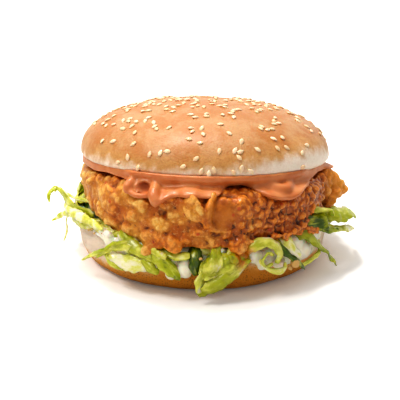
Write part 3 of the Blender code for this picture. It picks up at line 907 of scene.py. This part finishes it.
outer = np.hypot(fillet_skin[:, 0], fillet_skin[:, 1]) > 44 * MM
fillet_out = vertex_normals(fillet_skin, fillet_faces)
fillet_bearing = bearings(fillet_skin)
crisp = crisp_at(fillet_bearing)
flake_gap = np.linalg.norm(fillet_skin - np.array(on_fillet(-83.5, 40.5)[0]), axis=1) / MM
rough = ramp(flake_gap, 4.5, 7.5) * 0.8 + 0.2
broad_knobs, small_knobs = np.ones(len(fillet_skin)), np.ones(len(fillet_skin))
broad_knobs[outer] = nodules(fillet_skin[outer], 6.0, 3.0)
small_knobs[outer] = nodules(fillet_skin[outer], 4.0, 8.0)
patchy = ramp(cloud(fillet_skin, 9.0, 6.0), -0.35, 0.35)
swell = (broad_knobs - 0.7) * (0.55 - 0.1 * crisp) * (0.3 + 0.7 * patchy)
swell = swell + (small_knobs - 0.6) * (0.06 + 0.16 * (1 - patchy) + 1.15 * crisp)
swell = swell * rough + cloud(fillet_skin, 1.6, 7.0) * 0.14 + cloud(fillet_skin, 3.6, 1.0) * 0.45 * rough
fillet_skin = eased(fillet_skin + fillet_out * (swell * MM)[:, None], fillet_net, 1, 0.4)
fillet_out = vertex_normals(fillet_skin, fillet_faces)


def crest_of(points, edges, normals, rounds, size):
    """How far each point stands out of its surroundings, in units of that size."""
    return ((points - eased(points, edges, rounds)) * normals).sum(axis=1) / (size * MM)


# The batter's finish darkens the creases and lightens the tops by these masks: partly browning, partly
# painted shade and light.
fine_crest = crest_of(fillet_skin, fillet_net, fillet_out, 8, 0.16)
broad_crest = crest_of(fillet_skin, fillet_net, fillet_out, 70, 0.8)
tip = ramp(fillet_skin[:, 0] / MM, 54, 62) * (1 - ramp(fillet_skin[:, 1] / MM, 2, 14))
# Where the flake's deeper brown goes: partly its own colour, partly painted shade.
flake_tone_and_shade_mask = 1 - ramp(flake_gap, 5.0, 9.0)


def batter_finish():
    """Fried batter: pale and floury or golden in patches, darker where it is crisp, with chilli and pepper
    in it. It is brown with painted shade in the creases, and lighter with painted light on the tops."""
    material, tree, shader = new_finish(
        "fried_batter", 0.5, Subsurface_Weight=0.12, Subsurface_Scale=0.003, Coat_Weight=0.2,
        Coat_Roughness=0.15, Specular_IOR_Level=0.35
    )
    shader.inputs["Subsurface Radius"].default_value = (1.0, 0.45, 0.15)
    fine, broad, crisp = (mask_value(tree, n) for n in ("fine_crest", "broad_crest", "crisp"))
    # Tone by how far a point stands out: brown and painted shade in the creases, golden and painted light on
    # the tops.
    stand = plus(tree, times(tree, broad, 0.30), times(tree, fine, 0.50))
    blotch = less(tree, speckle(tree, 3.0, 4.0, 0.65), 0.5)
    stand = plus(tree, stand, times(tree, blotch, 1.6))
    patch = less(tree, speckle(tree, 11.0, 3.0, 0.55), times(tree, crisp, 0.34))
    floury = between(tree, patch, 0.25, 0.62)
    tops_tone_and_light = mixed(tree, floury, seen(234, 146, 44), seen(248, 210, 124))
    middles = mixed(tree, floury, seen(186, 98, 12), seen(228, 164, 64))
    crease_brown_and_shade = mixed(tree, floury, seen(84, 34, 0), seen(156, 84, 6))
    batter = mixed(tree, between(tree, stand, -1.3, -0.3), crease_brown_and_shade, middles)
    batter = mixed(tree, between(tree, stand, 0.0, 0.9), batter, tops_tone_and_light)
    grain = between(tree, speckle(tree, 0.9, 3.0, 0.7), 0.40, 0.64, 0.0, 0.30)
    batter = mixed(tree, grain, batter, seen(160, 80, 8))
    flour = between(tree, speckle(tree, 1.3, 3.0, 0.7), 0.55, 0.70, 0.0, 0.4)
    batter = mixed(tree, flour, batter, seen(244, 206, 134))
    orange = mixed(tree, times(tree, mask_value(tree, "tip"), 0.6), batter, seen(252, 172, 56))
    # The flake's deeper brown: partly its own colour, partly painted shade.
    flake_tone_and_shade = between(tree, speckle(tree, 7.0, 3.0), 0.35, 0.6)
    flake_tone_and_shade = mixed(tree, flake_tone_and_shade, seen(152, 74, 4), seen(198, 118, 22))
    orange = mixed(tree, times(tree, mask_value(tree, "flake_tone_and_shade"), 0.8), orange, flake_tone_and_shade)
    where = place(tree, "ShaderNodeTexCoord").outputs["Object"]
    dots = place(tree, "ShaderNodeTexVoronoi", {"Vector": where, "Scale": 230.0})
    picked = place(tree, "ShaderNodeSeparateColor", {0: dots.outputs["Color"]}).outputs
    near = between(tree, dots.outputs["Distance"], 0.09, 0.14, 1.0, 0.0)
    pepper = times(tree, near, maths(tree, "LESS_THAN", picked[0], 0.10))
    near = between(tree, dots.outputs["Distance"], 0.10, 0.28, 1.0, 0.0)
    chilli = times(tree, near, maths(tree, "LESS_THAN", picked[1], 0.26))
    spiced = mixed(tree, times(tree, chilli, 0.75), orange, seen(196, 74, 20))
    spiced = mixed(tree, times(tree, pepper, 0.85), spiced, seen(52, 24, 10))
    tree.links.new(spiced, shader.inputs["Base Color"])
    wet = between(tree, speckle(tree, 3.0, 3.0), 0.35, 0.65, 0.32, 0.6)
    tree.links.new(wet, shader.inputs["Roughness"])
    tree.links.new(between(tree, crisp, 0.2, 1.0, 0.2, 0.6), shader.inputs["Coat Weight"])
    raised(tree, shader, speckle(tree, 1.0, 4.0, 0.7), 0.45)
    return material


batter_masks = {"fine_crest": fine_crest, "broad_crest": broad_crest}
batter_masks |= {"crisp": crisp, "tip": tip, "flake_tone_and_shade": flake_tone_and_shade_mask}
add_piece(
    "fried_chicken_fillet",
    fillet_skin,
    fillet_faces,
    batter_finish(),
    "chicken_fillet",
    batter_masks,
)
fillet_tree = BVHTree.FromPolygons(fillet_skin.tolist(), fillet_faces)


# ---------------------------------------------------------------------------------------------
# Pink sauce: a thick mayonnaise with ketchup, spread on the cut face of the crown. The crown
# pressed it out over the front of the fillet, where it hangs in a smooth heavy lip and drips.
# ---------------------------------------------------------------------------------------------


def cut_face_of(node):
    """The centre and the upward direction of the widest flat face under a node."""
    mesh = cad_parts[node].data
    total, middle, area = Vector(), Vector(), 0.0
    for face in mesh.polygons:
        if face.normal.z < -0.97:
            total += face.normal * face.area
            middle += face.center * face.area
            area += face.area
    return middle / area, -total.normalized()


cut_centre, crown_up = cut_face_of("bun_crown")


def cut_height(bearing, radius):
    """Height of the crown's cut face, in millimetres, over a point by bearing and radius."""
    point = at(bearing, radius, 0)
    slope = crown_up.x * (point.x - cut_centre.x) + crown_up.y * (point.y - cut_centre.y)
    return (cut_centre.z - slope / crown_up.z) / MM


# How far the lip hangs below the crown's cut, in millimetres, by bearing.
HANGS = [
    (-180, 2.8), (-161, 2.8), (-140, 2.6), (-130, 3.0), (-124, 3.4), (-120, 3.8), (-117.5, 3.0),
    (-114, 3.0), (-112.3, 6.5), (-110.5, 9.0), (-108.3, 10.4), (-106, 8.4), (-104, 7.1), (-95, 6.4),
    (-87, 6.8), (-83, 5.8), (-78, 4.0), (-72, 3.8), (-67, 5.6), (-62, 7.0), (-57, 8.3), (-53, 8.6),
    (-49, 7.4), (-45, 6.2), (-39, 5.2), (-31, 4.0), (-22, 3.0), (20, 3.2), (45, 4.6), (70, 3.0), (110, 4.0),
    (150, 3.0), (180, 3.4),
]
SAUCE_COLUMNS, SAUCE_LEVELS = 360, np.arange(34.0, 58.0, 1.0)
sauce_bearings = np.arange(SAUCE_COLUMNS) * 360 / SAUCE_COLUMNS - 180


def fillet_reach():
    """Radius in mm that clears the fillet's lumps, by bearing and level, smoothed."""
    table = np.full((SAUCE_COLUMNS, len(SAUCE_LEVELS)), 50.0)
    for i, bearing in enumerate(sauce_bearings):
        for j, level in enumerate(SAUCE_LEVELS):
            start = at(bearing, 90, level)
            hit = fillet_tree.ray_cast(start, Vector((-start.x, -start.y, 0)).normalized())[0]
            if hit:
                table[i, j] = max(50.0, hypot(hit.x, hit.y) / MM)
    wide = np.max([np.roll(table, k, axis=0) for k in range(-3, 4)], axis=0)
    tall = np.pad(wide, ((0, 0), (1, 1)), mode="edge")
    wide = np.max([tall[:, :-2], tall[:, 1:-1], tall[:, 2:]], axis=0)
    for _ in range(3):
        wide = (np.roll(wide, 1, axis=0) + wide * 2 + np.roll(wide, -1, axis=0)) / 4
        tall = np.pad(wide, ((0, 0), (1, 1)), mode="edge")
        wide = (tall[:, :-2] + 2 * wide + tall[:, 2:]) / 4
    return wide


reach_table = fillet_reach()


def sauce_section(bearing):
    """The closed outline of the sauce at one bearing, as (radius, height) in millimetres."""
    column = round((bearing + 180) * SAUCE_COLUMNS / 360)
    hang = float(np.interp(bearing, *zip(*HANGS)))
    front = float(ramp(bearing, -130, -122) * (1 - ramp(bearing, -42, -30)))
    wave = noise.noise(Vector((bearing * 0.11, 3.0, 0)))
    hang += (1 - front) * 1.1 * noise.noise(Vector((bearing * 0.07, 0, 7)))
    fat = 1.2 + 1.2 * front + 0.5 * wave
    tucked = float(ramp(bearing, -105, -99) * (1 - ramp(bearing, -70, -62)))
    bead = 0.35 + 0.75 * front + 0.6 * float(bump(bearing, -108, 5) + bump(bearing, -54, 9)) - 1.5 * tucked
    cut = cut_height(bearing, 58)
    shoulder = 57.2 + 1.9 * front
    outer = [(40.0, cut_height(bearing, 40) - 0.3), (52.0, cut_height(bearing, 52) - 0.2)]
    outer += [(shoulder - 2.2, cut + 1.4), (shoulder - 0.4, cut + 0.9 * front + 0.9)]
    for step in range(1, 13):
        share = step / 12
        level = cut - share * (hang - 0.9)
        clear = max(np.interp(level, SAUCE_LEVELS, reach_table[column]), 56.0)
        reach = clear + fat * (0.75 + 0.25 * share)
        bulge = (reach - shoulder) * min(1.0, share * (2.6 - 1.1 * tucked))
        reach = shoulder + bulge - 2.7 * tucked * share**2
        outer.append((reach + bead * max(0.0, share * 3 - 2), level))
    radius, level = outer[-1]
    inner = [(r - fat - 2.5, z) for r, z in outer[:3:-1]]
    round_edge = (fat + bead) * 0.55
    edge = [
        (radius - 0.3 * round_edge, level - 0.7 * round_edge),
        (radius - 1.3 * round_edge, level - 0.95 * round_edge),
        (radius - fat - 1.8, level - 0.6 * round_edge),
    ]
    inner = [(min(r, 55.0 + 8 * (cut - 2.5 - z > 0)), min(z, cut - 1.8)) for r, z in inner]
    under = [(52.0, cut_height(bearing, 52) - 2.4), (40.0, cut_height(bearing, 40) - 2.2)]
    return outer + edge + inner + under


sauce_parts = [ringed(sauce_section, sauce_bearings)]


def on_reach(bearing, level, proud):
    """A point that far outside the fillet's lumps, in millimetres."""
    column = int(round((bearing + 180) * SAUCE_COLUMNS / 360)) % SAUCE_COLUMNS
    return at(bearing, np.interp(level, SAUCE_LEVELS, reach_table[column]) + proud, level)


# At the left the sauce folded over itself: a thick arm, a hollow beside it, and the long drip.
# At the right it hangs in a broad lobe. Each line is (bearing, height, how far it stands out).
arm = [(-114.5, 54.6, 1.6), (-118.2, 54.2, 2.6), (-121.0, 52.4, 3.2), (-122.4, 49.8, 2.8)]
arm.append((-122.2, 47.8, 1.6))
bead_line(sauce_parts, [on_reach(*p) for p in arm], 4.2, 40)
arm_end = [(-122.2, 48.2, 1.8), (-120.4, 47.0, 1.4), (-117.0, 46.4, 1.2), (-113.5, 46.8, 1.2)]
arm_end.append((-110.5, 47.8, 1.4))
bead_line(sauce_parts, [on_reach(*p) for p in arm_end], 2.6, 50)
drip = [(-115.5, 54.2, 1.8), (-113, 53.0, 2.8), (-111.2, 50.6, 3.0), (-109.4, 48.2, 2.8), (-108.3, 46.0, 2.2)]
bead_line(sauce_parts, [on_reach(*p) for p in drip], 5.0, 36)
sauce_parts.append(lump(on_reach(-116.6, 50.0, 0.6), at(-116.6, 1, 0), 13.0, 9.5, 4.0))
sauce_parts.append(lump(on_reach(-116.0, 48.4, 0.4), at(-116.0, 1, 0), 10.0, 5.0, 3.6))
lobe = [(-63, 49.6, -0.8), (-57, 47.2, 1.0), (-52, 46.8, 1.0), (-46, 48.4, -0.2), (-43, 50.0, -1.4)]
bead_line(sauce_parts, [on_reach(*p) for p in lobe], 5.4, 26)
sauce_skin, sauce_faces, _ = fused(sauce_parts, grain=0.52, rounds=6)
# The hollow beside the arm is pushed in, and its mask also darkens the sauce there: painted shade.
hollow_way = np.array(at(-115.5, 1, 0).normalized())
hollow_gap = (sauce_skin - np.array(at(-115.5, 61.2, 49.6))) / MM * np.array([1, 1, 1.4])
hollow = 1 - ramp(np.linalg.norm(hollow_gap, axis=1), 1.0, 4.2)
sauce_skin = sauce_skin - hollow_way * (hollow * 2.6 * MM)[:, None]


def pink_sauce_finish():
    """Salmon pink with a few red flecks, dull deep in the hollow, where painted shade darkens it."""
    material, tree, shader = new_finish(
        "pink_sauce", 0.40, Subsurface_Weight=0.3, Subsurface_Scale=0.004, Coat_Weight=0.12,
        Coat_Roughness=0.15
    )
    shader.inputs["Subsurface Radius"].default_value = (1.0, 0.4, 0.2)
    cast = speckle(tree, 7.0, 2.0)
    tone = mixed(tree, between(tree, cast, 0.3, 0.7), seen(196, 117, 62), seen(210, 138, 84))
    fleck = between(tree, speckle(tree, 0.9, 1.0), 0.70, 0.76)
    flecked = mixed(tree, times(tree, fleck, 0.35), tone, seen(190, 80, 30))
    # Painted shade: the sauce turns dark red-brown deep in the hollow, where shade falls.
    painted_hollow_shade = mixed(tree, times(tree, mask_value(tree, "hollow"), 0.8), flecked, seen(140, 62, 26))
    tree.links.new(painted_hollow_shade, shader.inputs["Base Color"])
    dull = mask_value(tree, "hollow")
    tree.links.new(between(tree, dull, 0.0, 0.6, 0.40, 0.85), shader.inputs["Roughness"])
    tree.links.new(between(tree, dull, 0.0, 0.4, 0.12, 0.0), shader.inputs["Coat Weight"])
    raised(tree, shader, speckle(tree, 3.5, 2.0), 0.2)
    return material


sauce_look = pink_sauce_finish()
add_piece("pink_sauce", sauce_skin, sauce_faces, sauce_look, "burger_sauce", {"hollow": hollow})


# ---------------------------------------------------------------------------------------------
# Crown: the domed top of the bun, brushed with egg before baking, so it is golden with a soft
# sheen. Its lower edge stayed pale, with blotches and streaks, where the dough was shaded.
# ---------------------------------------------------------------------------------------------


def crown_finish():
    """Golden crust with toasted patches, pores and a soft sheen, cream at the lower edge."""
    material, tree, shader = new_finish(
        "crown_crust", 0.46, Subsurface_Weight=0.12, Subsurface_Scale=0.004, Coat_Weight=0.26,
        Coat_Roughness=0.34
    )
    crust = crust_on(tree, 0.9, 0.8, 0.16)
    streaks = speckle(tree, 2.6, 4.0, 0.65, (1.0, 1.0, 0.32))
    blotches = less(tree, speckle(tree, 6.5, 4.0, 0.6), 0.5)
    baked = plus(tree, mask_value(tree, "baked"), times(tree, blotches, 1.05))
    baked = plus(tree, baked, times(tree, less(tree, streaks, 0.5), 0.2))
    toast = plus(tree, speckle(tree, 15.0, 3.0), times(tree, crust["Blotches"], 0.6))
    warm = mixed(tree, between(tree, toast, 0.62, 0.90), seen(197, 148, 95), seen(186, 120, 46))
    edge = mixed(tree, between(tree, baked, -0.15, 0.55), seen(248, 232, 214), seen(208, 156, 90))
    whole = mixed(tree, between(tree, baked, 0.32, 1.0), edge, warm)
    grain = between(tree, speckle(tree, 0.9, 3.0, 0.7), 0.40, 0.62, 0.0, 0.30)
    grain = times(tree, grain, between(tree, baked, 0.0, 0.7, 0.3, 1.0))
    whole = mixed(tree, grain, whole, seen(174, 102, 44))
    pores = times(tree, crust["Pores"], between(tree, baked, 0.0, 0.7, 0.05, 0.2))
    pitted = mixed(tree, pores, whole, seen(170, 90, 40))
    crumb = mixed(tree, mask_value(tree, "cut"), pitted, seen(244, 226, 190))
    tree.links.new(crumb, shader.inputs["Base Color"])
    raised(tree, shader, crust["Height"], 0.26)
    return material


crown_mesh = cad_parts["bun_crown"].data
crown_points_solid = np.array([v.co for v in crown_mesh.vertices])
crown_turn = crown_up.to_track_quat("Z", "Y").to_matrix()
upright = (crown_points_solid - np.array(cut_centre)) @ np.array(crown_turn)
crown_radius = np.ptp(upright[:, :2], axis=0).mean() / 2
crown_rise = upright[:, 2].max()
cut_edge = 55.0 * MM
widest = 2.6 * MM
# How full the dome is at its shoulders: 2 would be an ellipse.
FULLNESS = 2.2
crown_profile = [(0, 0), (cut_edge * 0.8, 0), (cut_edge, 0)]
for step in range(1, 9):
    turn = radians(11.25 * step)
    crown_profile.append((cut_edge + (crown_radius - cut_edge) * sin(turn), widest * (1 - cos(turn))))
for step in range(1, 45):
    reach, lift = cos(radians(2 * step)) ** (2 / FULLNESS), sin(radians(2 * step)) ** (2 / FULLNESS)
    crown_profile.append((crown_radius * reach, widest + (crown_rise - widest) * lift))
crown_profile.append((0, crown_rise))
crown_points, crown_faces = turned(spaced(crown_profile, 1.2 * MM), 260)


def crown_swell(points):
    """The dough's gentle unevenness, in millimetres, at upright points of the crown."""
    height = points[:, 2] / MM
    low = 1 - ramp(height, 2.0, 9.0)
    swell = cloud(points, 26, 4.0) * 0.75 + cloud(points, 9, 8.0) * 0.16
    return swell + low * cloud(points, 4.5, 1.0) * 0.35


crown_normals = vertex_normals(crown_points, crown_faces)
crown_lift = crown_swell(crown_points) * ramp(crown_points[:, 2], 0.0, 1.5 * MM)
crown_shape = crown_points + crown_normals * (crown_lift * MM)[:, None]
crown_bearing = bearings(crown_shape @ np.array(crown_turn).T)
pale_height = 4.0 + 7.5 * bump(crown_bearing, -36, 38) + 1.2 * bump(crown_bearing, -85, 20)
pale_height += 1.8 * bump(crown_bearing, -140, 24)
crown_height = crown_points[:, 2] / MM
crown_baked = np.clip((crown_height - pale_height) / 11.0 + 0.45, -0.4, 1.3)
crown_cut = 1 - ramp(crown_height, 0.15, 0.5)
crown_skin = crown_shape @ np.array(crown_turn).T + np.array(cut_centre)
crown_masks = {"baked": crown_baked, "cut": crown_cut}
add_piece("bun_crown_crust", crown_skin, crown_faces, crown_finish(), "bun_crown", crown_masks)


# ---------------------------------------------------------------------------------------------
# Sesame seeds: hulled white sesame, about 3 mm long, flat drops with one pointed end. They were
# scattered on the wet dough before baking, so they lie flat, half sunk, often in small groups.
# ---------------------------------------------------------------------------------------------

seeds = np.random.default_rng(12)
SEED_LENGTH = 3.3
crown_tree = BVHTree.FromPolygons(crown_skin.tolist(), [tuple(f) for f in crown_faces])


def seed_form():
    """One seed lying along X, of length 1, with its pointed end at +X."""
    points = ball_points.copy()
    along = points[:, 0]
    taper = np.where(along > 0, 1 - 0.62 * along**1.5, 1.0)
    points[:, 1] *= 0.60 * taper
    points[:, 2] *= 0.34 * taper
    return points / 2


# The seeds along the front edge: bearing, and height in millimetres above the cut.
FRONT_SEEDS = [
    (-138, 15.8), (-125.6, 17.0), (-131, 4.2), (-126, 7.6), (-120, 2.8), (-115, 10.8), (-110, 12.4),
    (-107, 13.6), (-99, 5.6), (-93.5, 10.0), (-91, 3.7), (-87.8, 2.7), (-85.5, 4.4), (-83.3, 15.3),
    (-77, 2.9), (-76, 15.8), (-73.5, 14.4), (-74.5, 10.6), (-73.5, 4.8), (-69.5, 3.5), (-64.8, 15.5),
    (-53.5, 15.4), (-48, 15.2), (-48.4, 11.8), (-39.7, 10.0), (-41, 2.8), (-146, 14.0), (-34, 14.0),
]


def seed_spots():
    """Points over the crown, in shares of its radius, for the seeds scattered singly or in groups."""
    spots = []
    while len(spots) < 330:
        share = seeds.uniform(0, 1) ** 0.5
        bearing = seeds.uniform(-180, 180)
        if share > 0.86 and seeds.uniform() < 0.45:
            continue
        group = int(seeds.choice([1, 1, 1, 2, 3]))
        for _ in range(group):
            # Seeds of a group lie about 2 mm apart, on a crown 59 mm in radius.
            near = seeds.normal(0, 2.3, 2) / 59
            x = share * cos(radians(bearing)) + near[0] * (group > 1)
            y = share * sin(radians(bearing)) + near[1] * (group > 1)
            if hypot(x, y) < 0.995:
                spots.append((x, y))
    return spots


rim_radius = crown_radius / MM
seed_guesses = []
for bearing, height in FRONT_SEEDS:
    rim_point = at(bearing, rim_radius, 0)
    rim_point.z = cut_height(bearing, rim_radius) * MM
    seed_guesses.append(rim_point + crown_up * height * MM)
for x, y in seed_spots():
    share = min(hypot(x, y), 0.995)
    lift = (1 - share**FULLNESS) ** (1 / FULLNESS)
    level = widest + (crown_rise - widest) * lift
    guess = Vector(crown_turn @ Vector((x * crown_radius, y * crown_radius, level))) + cut_centre
    bearing = np.degrees(np.arctan2(guess.y, guess.x))
    if share < 0.90 or abs(bearing + 90) > 62:
        seed_guesses.append(guess)

seed_shape = seed_form()
seed_parts, seed_tones, placed_seeds = [], [], []
for guess in seed_guesses:
    spot, out, _, _ = crown_tree.find_nearest(guess)
    if any((spot - other).length < 2.2 * MM for other in placed_seeds):
        continue
    placed_seeds.append(spot)
    length = SEED_LENGTH * seeds.uniform(0.9, 1.08) * MM
    stand = out.to_track_quat("Z", "Y").to_matrix()
    spin, rock = seeds.uniform(0, 2 * pi), seeds.normal(0, 0.12)
    stand = stand @ (Matrix.Rotation(spin, 3, "Z") @ Matrix.Rotation(rock, 3, "Y"))
    turned_seed = seed_shape * length @ np.array(stand).T
    seed_parts.append((turned_seed + np.array(spot + out * 0.22 * MM), ball_faces))
    seed_tones += [seeds.uniform()] * len(turned_seed)


def seed_finish():
    """Ivory seeds, some of them a little more toasted, with faint streaks."""
    material, tree, shader = new_finish(
        "sesame_seed", 0.38, Subsurface_Weight=0.25, Subsurface_Scale=0.001, Coat_Weight=0.2
    )
    tone = mixed(tree, mask_value(tree, "tone"), seen(232, 198, 154), seen(241, 216, 182))
    streak = times(tree, between(tree, speckle(tree, 0.7, 2.0), 0.55, 0.8), 0.4)
    tree.links.new(mixed(tree, streak, tone, seen(226, 184, 126)), shader.inputs["Base Color"])
    raised(tree, shader, speckle(tree, 0.35, 1.0), 0.03)
    return material


seed_points, seed_faces = joined(seed_parts)
seed_masks = {"tone": seed_tones}
add_piece("sesame_seeds", seed_points, seed_faces, seed_finish(), "bun_crown", seed_masks)


# ---------------------------------------------------------------------------------------------
# Crumbs: bits of fried batter, 1 to 4 mm across, that broke off the fillet. They fell on the
# lettuce and on the rim of the heel. They wear the plain, even tan that came with the fillet's
# solid, and not its spiced finish.
# ---------------------------------------------------------------------------------------------

crumbs = np.random.default_rng(5)
# Bearing, radius, height and size: the flat brown one at the right, and the bits on the rim.
crumb_spots = [(-53.5, 68.2, 14.2, 4.4), (-55.5, 68.0, 12.6, 2.4)]
crumb_spots += [(-91, 66.5, 21.0, 1.6), (-88, 66.5, 19.5, 1.2)]
for _ in range(16):
    bearing, height = -145 + crumbs.normal(0, 4.5), crumbs.uniform(21.5, 24.5)
    crumb_spots.append((bearing, 61.9, height, crumbs.uniform(0.8, 2.0)))
for _ in range(26):
    crumb_spots.append((crumbs.uniform(-20, 200), 61.5, 24.5, crumbs.uniform(0.9, 2.2)))
crumb_parts = []
for index, (bearing, radius, height, size) in enumerate(crumb_spots):
    spot, outward, turn = at(bearing, radius, height), at(bearing, 1, 0.5), crumbs.uniform(0, pi)
    crumb_parts.append(lump(spot, outward, size, size * 0.85, size * 0.5, turn, 0.4, index))
crumb_points, crumb_faces = joined(crumb_parts)
plain_batter = bpy.data.materials["fried_batter"]
add_piece("batter_crumbs", crumb_points, crumb_faces, plain_batter, "chicken_fillet")


# ---------------------------------------------------------------------------------------------
# Table, light and camera: a plain white table in a bright white room, with a soft lamp high up
# just behind the burger and another high at the front left. The camera looks down 18 degrees.
# ---------------------------------------------------------------------------------------------


def add_floor():
    """The table, as white as the room to the camera, and a little greyer in what it throws back."""
    mesh = bpy.data.meshes.new("table_top")
    corners = [(-4.0, -4.0, 0), (4.0, -4.0, 0), (4.0, 4.0, 0), (-4.0, 4.0, 0)]
    mesh.from_pydata(corners, [], [(0, 1, 2, 3)])
    material, tree, shader = new_finish("table_white", 0.8, Specular_IOR_Level=0.1)
    direct = place(tree, "ShaderNodeLightPath").outputs["Is Camera Ray"]
    tone = mixed(tree, direct, (0.72, 0.70, 0.67, 1.0), (1.0, 0.98, 0.965, 1.0))
    tree.links.new(tone, shader.inputs["Base Color"])
    glow = mixed(tree, direct, (0.0, 0.0, 0.0, 1.0), (0.062, 0.060, 0.056, 1.0))
    tree.links.new(glow, shader.inputs["Emission Color"])
    shader.inputs["Emission Strength"].default_value = 1.0
    mesh.materials.append(material)
    floor = bpy.data.objects.new("table_top", mesh)
    bpy.context.scene.collection.objects.link(floor)


middle = Vector((0, 0, 0.04))


def add_lamp(name, position, size, power):
    """A round soft lamp, faintly warm, that faces the middle of the burger."""
    data = bpy.data.lights.new(name, "AREA")
    data.shape = "DISK"
    data.size = size
    data.energy = power
    data.color = (1.0, 0.99, 0.975)
    lamp = bpy.data.objects.new(name, data)
    lamp.location = position
    lamp.rotation_euler = (Vector(position) - middle).to_track_quat("Z", "Y").to_euler()
    bpy.context.scene.collection.objects.link(lamp)


add_floor()
add_lamp("lamp_over", (-0.10, 0.18, 0.85), 0.20, 3.35)
add_lamp("lamp_front", (-0.66, -0.36, 1.06), 0.42, 5.0)

# The room is brightest overhead and behind, and plain white to the camera.
world = bpy.data.worlds.new("studio")
world.use_nodes = True
sky = world.node_tree
way = place(sky, "ShaderNodeSeparateXYZ", {0: place(sky, "ShaderNodeTexCoord").outputs["Generated"]}).outputs
overhead = between(sky, way["Z"], -0.1, 0.9, 0.20, 0.58)
backdrop = between(sky, way["Y"], 0.3, 0.85, 0.0, 0.55)
strength = plus(sky, overhead, backdrop)
direct = place(sky, "ShaderNodeLightPath").outputs["Is Camera Ray"]
strength = maths(sky, "MAXIMUM", strength, direct)
sky.links.new(strength, sky.nodes["Background"].inputs["Strength"])
sky.nodes["Background"].inputs["Color"].default_value = (1.0, 1.0, 1.0, 1.0)
scene = bpy.context.scene
scene.world = world
scene.view_settings.view_transform = "Standard"
scene.view_settings.look = "High Contrast"

CAMERA_RISE = radians(18)
CAMERA_DISTANCE = 0.600
VIEW_WIDTH = 0.1909
camera_data = bpy.data.cameras.new("camera")
camera_data.sensor_width = 36
camera_data.lens = 36 * CAMERA_DISTANCE / VIEW_WIDTH
camera = bpy.data.objects.new("camera", camera_data)
scene.collection.objects.link(camera)
back = Vector((0, -cos(CAMERA_RISE), sin(CAMERA_RISE)))
over = Vector((0, sin(CAMERA_RISE), cos(CAMERA_RISE)))
camera.location = middle + back * CAMERA_DISTANCE
# The view is centred a little below the middle of the burger and 1.6 mm to its left.
aim = middle - over * 14.6 * MM - Vector((1.6 * MM, 0, 0))
camera.rotation_euler = (camera.location - aim).to_track_quat("Z", "Y").to_euler()
scene.camera = camera
